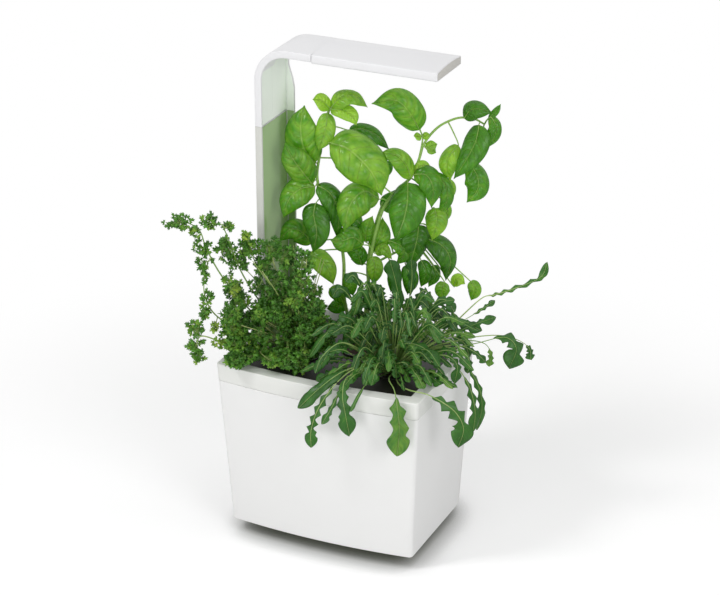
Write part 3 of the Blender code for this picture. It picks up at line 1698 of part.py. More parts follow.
def make_rocket():
    """Rocket: long lobed leaves that arch out of the pod and hang over the rim."""
    plant = Plant("rocket_plant", pod_places[2])
    facing = (Vector((0, 0, 1)) - plant.back * facing_share).normalized()
    steps = len(rocket_lobe_shares) - 1
    for path, start_share, width_share in rocket_leaf_shares:
        points = plant.rooted(path)
        last = len(points) - 1
        stalk_share = start_share + (1 - start_share) / steps
        stalk = [stem_point(points, stalk_share * last * step / steps) for step in range(steps + 1)]
        plant.stem(stalk, rocket_stalk_radius, rocket_stalk_radius / 2)
        places = [start_share + (1 - start_share) * step / steps for step in range(steps + 1)]
        spine = [stem_point(points, last * place) for place in places]
        widths = [plant_reach_x * width_share * share for share in rocket_lobe_shares]
        plant.blade(spine, widths, facing, rocket_cup_share)
    return plant.build(rocket_green)


make_planter_shell()
make_base()
make_collar()
make_deck()
make_socket()
make_column()
make_arm()
make_head()
make_control()
make_pump()
make_gauge()
make_pods()
make_basil()
make_parsley()
make_rocket()
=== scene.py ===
"""Looks of a countertop hydroponic garden: planter, lamp and three plants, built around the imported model."""
import math

import bmesh
import bpy
import numpy as np
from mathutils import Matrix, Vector


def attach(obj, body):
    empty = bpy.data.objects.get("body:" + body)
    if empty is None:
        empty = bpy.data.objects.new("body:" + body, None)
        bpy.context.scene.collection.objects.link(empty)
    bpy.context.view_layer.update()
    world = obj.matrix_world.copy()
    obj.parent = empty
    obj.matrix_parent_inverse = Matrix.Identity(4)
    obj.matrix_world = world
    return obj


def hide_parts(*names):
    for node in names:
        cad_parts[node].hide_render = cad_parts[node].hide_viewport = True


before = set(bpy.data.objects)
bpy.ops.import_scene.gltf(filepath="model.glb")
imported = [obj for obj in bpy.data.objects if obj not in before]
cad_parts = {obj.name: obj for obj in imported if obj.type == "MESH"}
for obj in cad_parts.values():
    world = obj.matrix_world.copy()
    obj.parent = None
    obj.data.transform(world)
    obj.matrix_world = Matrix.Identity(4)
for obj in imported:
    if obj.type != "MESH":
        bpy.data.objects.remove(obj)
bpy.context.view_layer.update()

mm = 0.001


# Planter body: the white tub that holds the water. It is injection-moulded in ABS, drafted so that it
# comes off its mould, with a bowed front, tight front corners and wide rounded corners at the back.
planter_width = 240 * mm
planter_depth = 192 * mm
rim_height = 211 * mm
foot_height = 15.5 * mm
side_draft = 10.5 * mm
front_draft = 11.5 * mm
back_draft = 8 * mm
front_bow = 7.5 * mm
front_corner = 4.5 * mm
back_corner = 46 * mm
least_corner = 0.8 * mm
seam_height = 190.4 * mm
wall = 3 * mm
floor_thickness = 3.5 * mm
hair = 0.3 * mm


def linear(colour):
    """Linear red, green, blue and alpha of an sRGB hex value."""
    parts = [int(colour[place:place + 2], 16) / 255 for place in (1, 3, 5)]
    return tuple(c / 12.92 if c <= 0.04045 else ((c + 0.055) / 1.055) ** 2.4 for c in parts) + (1.0,)


def add_node(tree, kind, inputs=None, **settings):
    """A node with its settings, whose inputs are values or the sockets that feed them."""
    node = tree.nodes.new("ShaderNode" + kind)
    for key, value in settings.items():
        setattr(node, key, value)
    for key, value in (inputs or {}).items():
        if isinstance(value, bpy.types.NodeSocket):
            tree.links.new(value, node.inputs[key])
        else:
            node.inputs[key].default_value = value
    return node


def blank_material(name):
    """A material with an empty node tree."""
    material = bpy.data.materials.new(name)
    material.use_nodes = True
    material.node_tree.nodes.clear()
    return material, material.node_tree


def noise(tree, size, detail):
    """Cloudy noise over the piece itself, in lumps of about a size."""
    place = add_node(tree, "TexCoord").outputs["Object"]
    return add_node(tree, "TexNoise", {"Vector": place, "Scale": 1 / size, "Detail": detail}).outputs["Fac"]


def ranged(tree, value, low, high, to_low, to_high):
    """A value moved from one range to another, and held inside it."""
    ends = {"From Min": low, "From Max": high, "To Min": to_low, "To Max": to_high}
    return add_node(tree, "MapRange", {"Value": value, **ends}).outputs["Result"]


def mixed(tree, share, first, second):
    """A colour that runs from the first at a share of 0 to the second at 1."""
    return add_node(tree, "MixRGB", {"Fac": share, "Color1": first, "Color2": second}).outputs["Color"]


def bumped(tree, height, depth, strength, **under):
    """The normal of a surface that a height raises by up to a depth."""
    inputs = {"Strength": strength, "Distance": depth, "Height": height, **under}
    return add_node(tree, "Bump", inputs).outputs["Normal"]


def finish_surface(tree, inputs):
    """Ends a material with one principled surface."""
    skin = add_node(tree, "BsdfPrincipled", inputs)
    add_node(tree, "OutputMaterial", {"Surface": skin.outputs["BSDF"]})


cloud_size = 60 * mm
gloss_spread = 0.04
grain_depth = 0.1 * mm


def moulded_abs(name, light, dark, roughness, grain=0.7 * mm, relief=0.04):
    """ABS as it leaves a spark-eroded mould: one colour through and through, with a fine even grain that
    softens its highlights. The grain is drawn a little coarser than it is, so that it shows."""
    material, tree = blank_material(name)
    fine = noise(tree, grain, 3.0)
    finish_surface(tree, {
        "Base Color": mixed(tree, noise(tree, cloud_size, 2.0), linear(dark), linear(light)),
        "Roughness": ranged(tree, fine, 0, 1, roughness - gloss_spread, roughness + gloss_spread),
        "Normal": bumped(tree, fine, grain_depth, relief),
    })
    return material


def plan(height, inset):
    """The planter's outline at a height, moved in by inset."""
    share = (rim_height - height) / (rim_height - foot_height)
    half = planter_width / 2 - side_draft * share - inset
    front = -planter_depth / 2 + front_draft * share + inset
    back = planter_depth / 2 - back_draft * share - inset
    front_radius = max(front_corner - inset, least_corner)
    back_radius = max(back_corner - inset, least_corner)
    slope = math.atan(2 * front_bow / half)
    last = half - front_radius * (1 - math.sin(slope))
    bow_steps, corner_steps, back_steps = 40, 8, 18
    points = []
    for step in range(bow_steps + 1):
        across = last * (2 * step / bow_steps - 1)
        points.append((across, front - front_bow * (1 - (across / half) ** 2)))
    middle = points[-1][1] + front_radius * math.cos(slope)
    right = []
    for step in range(1, corner_steps + 1):
        angle = (slope - math.pi / 2) * (1 - step / corner_steps)
        right.append((half - front_radius * (1 - math.cos(angle)), middle + front_radius * math.sin(angle)))
    for step in range(back_steps + 1):
        angle = math.pi / 2 * step / back_steps
        right.append((half - back_radius * (1 - math.cos(angle)), back - back_radius * (1 - math.sin(angle))))
    points += right + [(-across, along) for across, along in reversed(right)]
    return [(across, along, height) for across, along in points]


def quarter(inset, height, radius, start):
    """Places of (inset, height) over a quarter turn from start, round an edge whose middle is given."""
    steps = 5
    angles = [math.radians(start + 90 * step / steps) for step in range(steps + 1)]
    return [(inset + radius * math.cos(angle), height + radius * math.sin(angle)) for angle in angles]


sharp_angle = math.radians(32)


def place_piece(name, mesh, materials, body, slot_name, *nodes):
    """The piece that a mesh makes, riding on its body and standing for CAD nodes."""
    for material in materials:
        mesh.materials.append(material)
    piece = bpy.data.objects.new(name, mesh)
    bpy.context.scene.collection.objects.link(piece)
    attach(piece, body)
    if nodes:
        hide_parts(*nodes)
    return piece


def new_piece(name, bm, *more):
    """The piece that a bmesh makes, smooth shaded between its sharp edges."""
    bmesh.ops.recalc_face_normals(bm, faces=bm.faces)
    mesh = bpy.data.meshes.new(name)
    bm.to_mesh(mesh)
    bm.free()
    mesh.shade_smooth()
    mesh.set_sharp_from_angle(angle=sharp_angle)
    return place_piece(name, mesh, *more)


def skinned(loops, ring=False):
    """A bmesh skinned over loops of points that are alike, with closed ends or closed to a ring."""
    bm = bmesh.new()
    loops = [[bm.verts.new(point) for point in loop] for loop in loops]
    pairs = list(zip(loops, loops[1:]))
    if ring:
        pairs.append((loops[-1], loops[0]))
    else:
        bm.faces.new(loops[0])
        bm.faces.new(loops[-1])
    for first, second in pairs:
        for step in range(len(first)):
            after = (step + 1) % len(first)
            bm.faces.new((first[step], first[after], second[after], second[step]))
    return bm


def lofted(sections, ring=False):
    """A bmesh skinned over the planter's outline at each (inset, height)."""
    return skinned([plan(height, inset) for inset, height in sections], ring)


white_abs = moulded_abs("moulded_abs_white", "#ececeb", "#e8e8e7", 0.40)
edge = 1.2 * mm
lip = 0.4 * mm
body_sections = [(2 * edge - inset, height) for inset, height in quarter(edge, foot_height + edge, edge, 270)]
body_sections += [(0, seam_height - lip), (lip, seam_height)]
body_sections += [(wall, seam_height), (wall, foot_height + floor_thickness)]
new_piece("planter_body", lofted(body_sections), [white_abs], "planter", "white_abs", "planter_shell")


# Plinth: the low foot, set well in so that the body seems to float. It is moulded in the same ABS and
# screwed on from below, through a rubber mat that hides the screws.
plinth_inset = 24 * mm
plinth_wall = 2.5 * mm
plinth_low = 1.8 * mm
plinth_floor = 4.5 * mm
plinth_edge = 0.7 * mm
# Painted light: the plinth's ABS is drawn lighter than the body's, for light that reaches its face under the
# overhang.
lit_plinth_abs = moulded_abs("moulded_abs_plinth_painted_light", "#f1f1f6", "#ededf3", 0.42)
plinth_sections = [(plinth_inset + plinth_edge - offset, height) for offset, height in
                   quarter(0, plinth_low + plinth_edge, plinth_edge, 270)]
plinth_sections += [(plinth_inset, foot_height - hair), (plinth_inset + plinth_wall, foot_height - hair)]
plinth_sections += [(plinth_inset + plinth_wall, plinth_low + plinth_floor)]
new_piece("plinth", lofted(plinth_sections), [lit_plinth_abs], "planter", "white_abs", "base_foot")


def finish_node(material, *names):
    """Gives CAD nodes that keep their own shape their finish."""
    for name in names:
        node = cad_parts[name]
        node.data.materials.clear()
        node.data.materials.append(material)


rubber = moulded_abs("moulded_rubber_black", "#1c1c1c", "#141414", 0.75, grain=1.2 * mm, relief=0.2)
finish_node(rubber, "anti_slip_mat")


ring_size = 0.5 * mm
ring_spread = 0.08


def turned_metal(name, colour, roughness):
    """Small metal parts, cut on a lathe and plated: fine rings from the tool and an even shine."""
    material, tree = blank_material(name)
    rings = noise(tree, ring_size, 2.0)
    finish_surface(tree, {
        "Base Color": linear(colour),
        "Metallic": 1.0,
        "Roughness": ranged(tree, rings, 0, 1, roughness - ring_spread, roughness + ring_spread),
    })
    return material


zinc_plated_steel = turned_metal("zinc_plated_steel", "#c9cbcc", 0.35)
finish_node(zinc_plated_steel, *[f"base_screw_{number}" for number in range(1, 5)])


# Collar: the separate ring above the thin seam, with the wide flat rim that the leaves hang over. It
# lifts off with the deck for filling, and its skin is the same satin ABS, a touch greyer.
rim_width = 14.5 * mm
rim_round = 1.0 * mm
collar_wall = 2.5 * mm
ledge_top = 196.7 * mm
ledge_thickness = 2.5 * mm
ledge_width = 6.5 * mm
tongue_outer = wall + hair
tongue_inner = 5 * mm
tongue_depth = 4.5 * mm
rim_abs = moulded_abs("moulded_abs_collar", "#e4e5e1", "#dfe0dc", 0.42)
collar_sections = [(lip, seam_height + hair), (0, seam_height + hair + lip)]
collar_sections += [(2 * rim_round - inset, height) for inset, height in
                    quarter(rim_round, rim_height - rim_round, rim_round, 0)]
collar_sections += quarter(rim_width - rim_round, rim_height - rim_round, rim_round, 0)[::-1]
collar_sections += [
    (rim_width, ledge_top),
    (rim_width + ledge_width, ledge_top),
    (rim_width + ledge_width, ledge_top - ledge_thickness),
    (rim_width - collar_wall, ledge_top - ledge_thickness),
    (rim_width - collar_wall, rim_height - collar_wall),
    (tongue_inner, rim_height - collar_wall),
    (tongue_inner, seam_height - tongue_depth),
    (tongue_outer, seam_height - tongue_depth),
    (tongue_outer, seam_height + hair),
]
new_piece("collar", lofted(collar_sections, ring=True), [rim_abs], "cover", "rim_abs", "rim_collar")


# Deck and what hangs from it: black ABS plate with a coarse grain, which keeps light off the water. The
# pods, the lamp's socket, the pump and the gauge are all seated in it.
black_abs = moulded_abs("moulded_abs_black", "#26261f", "#1c1b16", 0.55, grain=1.5 * mm, relief=0.25)
finish_node(black_abs, "planting_deck", "lamp_socket", "control_housing", "dc_inlet", "pump_body",
            "pump_cover", "pod_cup_1", "pod_cup_2", "pod_cup_3")
finish_node(zinc_plated_steel, *[f"deck_screw_{number}" for number in range(1, 5)], "inlet_nut")
milky_abs = moulded_abs("moulded_polypropylene", "#dcdcd6", "#d2d2cc", 0.45)
finish_node(milky_abs, "riser_tube", "float_guide", "pump_impeller")
grey_abs = moulded_abs("moulded_abs_grey", "#c9c7c1", "#c2c0ba", 0.45)
finish_node(grey_abs, "level_float")
gold_plated_brass = turned_metal("gold_plated_brass", "#d8b45a", 0.28)
finish_node(gold_plated_brass, "socket_pin_1", "socket_pin_2", "column_pin_1", "column_pin_2")
solder_mask = moulded_abs("solder_mask_green", "#1d6b3c", "#16562f", 0.35, grain=2.5 * mm, relief=0.1)
finish_node(solder_mask, "control_board")
ground_ceramic = moulded_abs("ground_ceramic", "#ece9e0", "#e2dfd6", 0.30)
finish_node(ground_ceramic, "impeller_shaft")
foam_cell = 1.5 * mm
pore_depth = 0.6 * mm


def open_foam(name, light, dark):
    """Dark growing foam, open-celled and damp: deep pores, drawn at their real size."""
    material, tree = blank_material(name)
    place = add_node(tree, "TexCoord").outputs["Object"]
    cells = add_node(tree, "TexVoronoi", {"Vector": place, "Scale": 1 / foam_cell}).outputs["Distance"]
    finish_surface(tree, {
        "Base Color": mixed(tree, cells, linear(dark), linear(light)),
        "Roughness": 0.95,
        "Normal": bumped(tree, cells, pore_depth, 0.8),
    })
    return material


grow_foam = open_foam("open_celled_grow_foam", "#4a3524", "#1d130c")
finish_node(grow_foam, "grow_sponge_1", "grow_sponge_2", "grow_sponge_3", "inlet_filter")


# Lower lamp column: a flat hollow plate of white ABS. Its back edge stands proud as a flange that hides
# the wires, and its inner side is closed by a polished panel, whose green from the leaves is a painted
# reflection in its colour.
lamp_width = 64 * mm
lamp_thickness = 8.2 * mm
lamp_outer = -99.5 * mm
lamp_inner = lamp_outer + lamp_thickness
flange_reach = 9 * mm
flange_thickness = 3.2 * mm
column_foot = 204.3 * mm
column_seam = 467 * mm
panel_margin = 2.2 * mm
panel_thickness = 1.2 * mm
panel_sink = 0.3 * mm
seam_lip = 0.5 * mm
plate_round = 1.0 * mm
soft_edge = 0.3 * mm
overrun = 4 * mm
wave_size = 25 * mm
wave_depth = 0.2 * mm
column_tongue_length = 24 * mm
column_tongue_half = (2.2 * mm, 27 * mm)


def painted_reflection_panel(name, top, bottom, low, high, roughness):
    """Polished pale plastic, as smooth as its mould. The green of the leaves that it mirrors is painted into
    its colour as a reflection, running from one end to the other as the leaves beside it do."""
    material, tree = blank_material(name)
    place = add_node(tree, "TexCoord").outputs["Object"]
    height = add_node(tree, "SeparateXYZ", {"Vector": place}).outputs["Z"]
    finish_surface(tree, {
        "Base Color": mixed(tree, ranged(tree, height, low, high, 0, 1), linear(bottom), linear(top)),
        "Roughness": roughness,
        "Normal": bumped(tree, noise(tree, wave_size, 1.0), wave_depth, 0.05),
    })
    return material


def rounded_corner(x, y, radius, start, turn=90, steps=4):
    """Points of (x, y) round a corner, whose middle is given, over a turn from start."""
    angles = [math.radians(start + turn * step / steps) for step in range(steps + 1)]
    return [(x + radius * math.cos(angle), y + radius * math.sin(angle)) for angle in angles]


def plate_section(flange):
    """The column's cross-section in X and Y, with its flange reaching out that far at the back edge."""
    half = lamp_width / 2
    r = plate_round
    points = rounded_corner(lamp_outer + r, -half + r, r, 180)
    points += rounded_corner(lamp_inner - r, -half + r, r, 270)
    if flange > r:
        points += rounded_corner(lamp_inner + r, half - flange_thickness - r, r, 180, -90)
        points += rounded_corner(lamp_inner + flange - r, half - flange_thickness + r, r, 270)
        points += rounded_corner(lamp_inner + flange - r, half - r, r, 0)
    else:
        points += rounded_corner(lamp_inner - r, half - r, r, 0)
    points += rounded_corner(lamp_outer + r, half - r, r, 90)
    return points


def box_corners(bm, low, high):
    """The corners of a box, added to a bmesh between two corners."""
    corners = bmesh.ops.create_cube(bm, size=1)["verts"]
    for corner in corners:
        corner.co = [low[i] + (corner.co[i] + 0.5) * (high[i] - low[i]) for i in range(3)]
    return corners


def carve(piece, low, high):
    """Cuts a box between two corners out of a piece."""
    bm = bmesh.new()
    box_corners(bm, low, high)
    mesh = bpy.data.meshes.new("cutter")
    bm.to_mesh(mesh)
    bm.free()
    cutter = bpy.data.objects.new("cutter", mesh)
    bpy.context.scene.collection.objects.link(cutter)
    cut = piece.modifiers.new("cut", "BOOLEAN")
    cut.operation = "DIFFERENCE"
    cut.solver = "EXACT"
    cut.object = cutter
    bpy.context.view_layer.update()
    graph = bpy.context.evaluated_depsgraph_get()
    carved = bpy.data.meshes.new_from_object(piece.evaluated_get(graph))
    piece.modifiers.remove(cut)
    piece.data = carved
    bpy.data.objects.remove(cutter)


def panels(*boxes):
    """A bmesh of thin panels with softened edges, each between two corners."""
    bm = bmesh.new()
    for low, high in boxes:
        corners = box_corners(bm, low, high)
        edges = list({edge for corner in corners for edge in corner.link_edges})
        bmesh.ops.bevel(bm, geom=edges, offset=soft_edge, segments=2, affect="EDGES")
    return bm


def painted_reflection_flange(piece, material):
    """Gives the flange's face beside the panel the panel's polish and its painted reflection of the leaves."""
    piece.data.materials.append(material)
    slot_number = len(piece.data.materials) - 1
    for face in piece.data.polygons:
        if face.center.x > lamp_inner + hair and face.normal.y < -0.9 and face.center.y > 0:
            face.material_index = slot_number


lamp_abs = moulded_abs("moulded_abs_lamp", "#e3e3e4", "#dfdfe1", 0.38)
section = plate_section(flange_reach)
ends = [column_foot, column_foot + hair, column_seam - hair, column_seam]
column_loops = [[(x, y, z) for x, y in section] for z in ends]
# Painted shade: the column is drawn greyer than the lamp's white ABS, for the shade of the leaves beside it.
shaded_column_abs = moulded_abs("moulded_abs_column_painted_shade", "#d0d1cb", "#cbccc6", 0.38)
column = new_piece("lamp_column", skinned(column_loops), [shaded_column_abs], "column", "white_abs", "column_shell")
panel_front = -lamp_width / 2 + panel_margin
panel_back = lamp_width / 2 - flange_thickness - hair
recess = lamp_inner - panel_thickness
carve(column, (recess, panel_front, column_foot + panel_margin),
      (lamp_inner + overrun, panel_back, column_seam - seam_lip))
tongue_middle = lamp_outer + lamp_thickness / 2
tongue_half_thickness, tongue_half_width = column_tongue_half
new_piece("column_tongue", panels((
    (tongue_middle - tongue_half_thickness, -tongue_half_width, column_foot - column_tongue_length),
    (tongue_middle + tongue_half_thickness, tongue_half_width, column_foot),
)), [lamp_abs], "column", "white_abs")
# Painted reflection: the basil's green, which the lower panel and the flange's face beside it mirror, is
# painted in as their colour.
column_painted_reflection = painted_reflection_panel("polished_panel_lower_painted_reflection", "#a2c086", "#86a862", column_foot, column_seam, 0.16)
painted_reflection_flange(column, column_painted_reflection)
new_piece("column_panel", panels((
    (recess, panel_front + hair, column_foot + panel_margin + hair),
    (lamp_inner - panel_sink, panel_back - hair, column_seam - seam_lip - hair),
)), [column_painted_reflection], "column", "panel_gloss", "column_cover")


# Upper column and arm: one bent moulding that stands on the lower column and turns over to the light. It
# is skinned along its bend, and its inner panel has a step cut in its top edge.
arm_top = 556 * mm
bend_radius = 37 * mm
head_start = -32.5 * mm
spigot_length = 12 * mm
spigot_half_width = 25 * mm
spigot_half_thickness = 2.3 * mm
panel_step_y = -5 * mm
panel_top_low = 529 * mm
panel_top_high = 535 * mm
flange_drops = (25 * mm, 15 * mm, 5 * mm)
flange_shares = (1, 0.8, 0.45)
bend_flange_share = 0.3
least_flange = plate_round * 1.2


def arm_loops():
    """Loops round the arm, from its foot, round the bend, to the light head. Its flange thins out into
    the bend, and is gone by the middle of it."""
    centre_x, centre_z = lamp_outer + bend_radius, arm_top - bend_radius
    places = [(column_seam + hair, flange_reach), (column_seam + 2 * hair, flange_reach)]
    places += [(centre_z - below, flange_reach * share) for below, share in zip(flange_drops, flange_shares)]
    loops = [[(x, y, z) for x, y in plate_section(reach)] for z, reach in places]
    steps = 24
    for step in range(steps + 1):
        angle = math.pi / 2 * step / steps
        reach = max(flange_reach * bend_flange_share * (1 - step / steps * 2), least_flange)
        loop = []
        for x, y in plate_section(reach):
            radius = bend_radius - (x - lamp_outer)
            loop.append((centre_x - radius * math.cos(angle), y, centre_z + radius * math.sin(angle)))
        loops.append(loop)
    for end_x in (head_start - 2 * hair, head_start - hair):
        loops.append([(end_x, y, arm_top - (x - lamp_outer)) for x, y in plate_section(least_flange)])
    return loops


arm = new_piece("lamp_arm", skinned(arm_loops()), [lamp_abs], "lamp", "white_abs", "arm_shell")
arm_foot = column_seam + hair
panel_foot = arm_foot + seam_lip
carve(arm, (recess, panel_front, panel_foot), (lamp_inner + flange_reach, panel_step_y, panel_top_low))
carve(arm, (recess, panel_step_y - hair, panel_foot), (lamp_inner + flange_reach, panel_back, panel_top_high))
# Painted reflection: a faint green of the leaves, painted in as the upper panel's and flange face's colour.
arm_painted_reflection = painted_reflection_panel("polished_panel_upper_painted_reflection", "#f0f9ee", "#f6fbf4", column_seam, panel_top_high, 0.18)
painted_reflection_flange(arm, arm_painted_reflection)
new_piece("arm_panel", panels(
    ((recess, panel_front + hair, panel_foot + hair),
     (lamp_inner - panel_sink, panel_step_y, panel_top_low - hair)),
    ((recess, panel_step_y - hair, panel_foot + hair),
     (lamp_inner - panel_sink, panel_back - hair, panel_top_high - hair)),
), [arm_painted_reflection], "lamp", "panel_gloss", "arm_cover")
middle_z = arm_top - lamp_thickness / 2
new_piece("arm_spigot", panels((
    (head_start - overrun, -spigot_half_width, middle_z - spigot_half_thickness),
    (head_start + spigot_length, spigot_half_width, middle_z + spigot_half_thickness),
)), [lamp_abs], "lamp", "white_abs")


# Light head: a shallow tray with a slightly arched top, moulded in one with its rounded long edges. A
# grey cap closes its end, and a frosted diffuser closes it below.
head_length = 142.5 * mm
head_end = head_start + head_length
head_edge = 9.6 * mm
head_arch = 2.1 * mm
head_skin = 2 * mm
head_round = 1.6 * mm
cap_thickness = 3 * mm
cap_recess = 0.6 * mm
cap_inset = 1.1 * mm
cap_reach = 0.35 * mm
cap_chamfer = (0.15 * mm, 0.3 * mm)
head_softness = 0.5 * mm
least_head_round = 0.3 * mm


def head_section(inset):
    """The head's end view in Y and Z, set in by inset, with rounded long edges."""
    half = lamp_width / 2 - inset
    low, high = arm_top - head_edge + inset, arm_top - inset
    r = max(head_round - inset, least_head_round)
    points = rounded_corner(-half + r, low + r, r, 180)
    points += rounded_corner(half - r, low + r, r, 270)
    points += rounded_corner(half - r, high - r, r, 0, 80)
    steps = 20
    for step in range(1, steps):
        share = 1 - 2 * step / steps
        points.append((share * (half - r), high + head_arch * (1 - share ** 2)))
    points += rounded_corner(-half + r, high - r, r, 100, 80)
    return points


def head_loops(places):
    """Loops of the head's end view at each (x, inset)."""
    return [[(x, y, z) for y, z in head_section(inset)] for x, inset in places]


head_places = [(head_start, head_softness), (head_start + head_softness, 0),
               (head_end - head_softness, 0), (head_end, head_softness)]
head = new_piece("light_head", skinned(head_loops(head_places)), [lamp_abs], "lamp", "white_abs",
                 "head_shell")
low_z = arm_top - head_edge
cap_start = head_end - cap_thickness - cap_recess
half_inner = lamp_width / 2 - head_skin
carve(head, (head_start + head_skin, -half_inner, low_z - overrun),
      (cap_start - head_skin, half_inner, arm_top - head_skin))
cap_places = [(cap_start, cap_inset), (head_end + cap_reach - cap_chamfer[0], cap_inset),
              (head_end + cap_reach, cap_inset + cap_chamfer[1])]
new_piece("head_cap", skinned(head_loops(cap_places)), [grey_abs], "lamp", "grey_abs", "head_end_cap")
frost_grain = 0.8 * mm
frost_depth = 2 * mm


def frosted_acrylic(name, colour):
    """Frosted acrylic: smooth to the touch, with a milky depth that spreads the light."""
    material, tree = blank_material(name)
    finish_surface(tree, {
        "Base Color": linear(colour),
        "Roughness": 0.45,
        "Normal": bumped(tree, noise(tree, frost_grain, 2.0), grain_depth, 0.05),
        "Subsurface Weight": 0.3,
        "Subsurface Scale": frost_depth,
    })
    return material


diffuser_acrylic = frosted_acrylic("frosted_acrylic", "#f1f1ee")
finish_node(diffuser_acrylic, "diffuser")
white_mask = moulded_abs("solder_mask_white", "#eeeeea", "#e6e6e2", 0.4)
finish_node(white_mask, "led_board")
finish_node(zinc_plated_steel, "board_screw_1", "board_screw_2")


# Basil: two tall stems with pairs of cupped, glossy leaves, puffed between their veins, and a bough that
# arches over to the right. Every leaf is a sheet of tissue under half a millimetre thick.
plant_turn = math.radians(24.5)
plant_foot = 200.2 * mm
plant_reach = 105 * mm
plant_height = 228 * mm
pod_places = {"parsley": (-54 * mm, -14 * mm), "basil": (0, 22 * mm), "rocket": (54 * mm, -14 * mm)}
turned_across = np.array((math.cos(plant_turn), math.sin(plant_turn), 0))
turned_back = np.array((-math.sin(plant_turn), math.cos(plant_turn), 0))
upward = np.array((0.0, 0.0, 1.0))


def at(plant, across, back, up):
    """A point given as shares of a plant's reach and height, from the middle of its pod."""
    foot = np.array((*pod_places[plant], plant_foot))
    level = foot + turned_across * (across * plant_reach) + turned_back * (back * plant_reach)
    return level + upward * (up * plant_height)


def heading(across, back, up):
    """A direction of unit length in the plants' own frame."""
    way = turned_across * across + turned_back * back + upward * up
    return way / np.linalg.norm(way)


def unit(ways):
    """The same directions at unit length."""
    return ways / np.maximum(np.linalg.norm(ways, axis=-1, keepdims=True), 1e-9)


def smooth_path(points, steps):
    """Points along a smooth curve through the given ones."""
    points = np.array(points, float)
    padded = np.vstack((2 * points[0] - points[1], points, 2 * points[-1] - points[-2]))
    places = np.linspace(0, len(points) - 1, steps + 1)
    made = []
    for place in places:
        first = min(int(place), len(points) - 2)
        t = place - first
        a, b, c, d = padded[first:first + 4]
        made.append(0.5 * (2 * b + (c - a) * t + (2 * a - 5 * b + 4 * c - d) * t ** 2
                           + (3 * b - a - 3 * c + d) * t ** 3))
    return np.array(made)


class Sheaf:
    """Sheets and tubes gathered for one piece, each point with its place on its leaf and its tone."""

    def __init__(self):
        self.points, self.faces, self.places, self.tones = [], [], [], []
        self.count = 0

    def grid(self, rows, places, tone, wrap=False):
        """Adds a sheet of quads over an array of points, rows by columns."""
        long, wide = rows.shape[:2]
        index = self.count + np.arange(long * wide).reshape(long, wide)
        if wrap:
            index = np.hstack((index, index[:, :1]))
        quads = np.stack((index[:-1, :-1], index[:-1, 1:], index[1:, 1:], index[1:, :-1]), -1).reshape(-1, 4)
        self.points.append(rows.reshape(-1, 3))
        self.faces.append(quads)
        self.places.append(places.reshape(-1, 2))
        self.tones.append(np.full((long * wide, 2), tone))
        self.count += long * wide

    def tube(self, path, start_radius, end_radius, tone, sides=6):
        """Adds a tube along a path, thinning from one radius to the other."""
        path = np.array(path)
        along = unit(np.gradient(path, axis=0))
        across = unit(np.cross(along, np.array((0.31, 0.87, 0.38))))
        other = np.cross(along, across)
        angles = np.linspace(0, math.tau, sides, endpoint=False)
        radii = np.linspace(start_radius, end_radius, len(path))[:, None, None]
        ring = across[:, None] * np.cos(angles)[None, :, None]
        ring = ring + other[:, None] * np.sin(angles)[None, :, None]
        rows = path[:, None] + ring * radii
        tip = path[-1:, None] + np.zeros((1, sides, 1))
        rows = np.concatenate((rows, tip + ring[-1:] * radii[-1:] * 0.05), 0)
        places = np.zeros((len(path) + 1, sides, 2))
        places[..., 0] = np.linspace(0, 1, len(path) + 1)[:, None]
        self.grid(rows, places, tone, wrap=True)

    def piece(self, name, materials, body, slot_name, node, thickness=None):
        """Makes the piece, with sheets given a thickness and their underside its own tissue."""
        faces = np.concatenate(self.faces)
        mesh = bpy.data.meshes.new(name)
        mesh.from_pydata(np.concatenate(self.points).tolist(), [], faces.tolist())
        for layer, values in (("leaf", self.places), ("tone", self.tones)):
            values = np.concatenate(values)[faces.reshape(-1)]
            mesh.uv_layers.new(name=layer).data.foreach_set("uv", values.astype(np.float32).ravel())
        mesh.validate()
        mesh.shade_smooth()
        made = place_piece(name, mesh, materials, body, slot_name, node)
        if thickness:
            solid = made.modifiers.new("thickness", "SOLIDIFY")
            solid.thickness = thickness
            solid.offset = -1
            solid.material_offset = 1


vein_count = 6
vein_rise = 0.10
vein_hook = 0.14
side_vein_widths = (0.075, 0.02)
mid_vein_widths = (0.008, 0.032)
mottle_size = 14 * mm
mottle_shift = 0.14
rib_shift = (0.10, -0.05)
tissue_grain = 1.2 * mm
tissue_depth = 0.15 * mm
tissue_spread = 0.08


def maths(tree, operation, *values):
    """The result of one sum on values or sockets."""
    return add_node(tree, "Math", dict(enumerate(values)), operation=operation).outputs[0]


def drawn_places(tree, layer):
    """The two parts of a drawn layer: how far along the leaf and across it, or its tone."""
    drawn = add_node(tree, "UVMap", uv_map=layer).outputs["UV"]
    return add_node(tree, "SeparateXYZ", {"Vector": drawn}).outputs


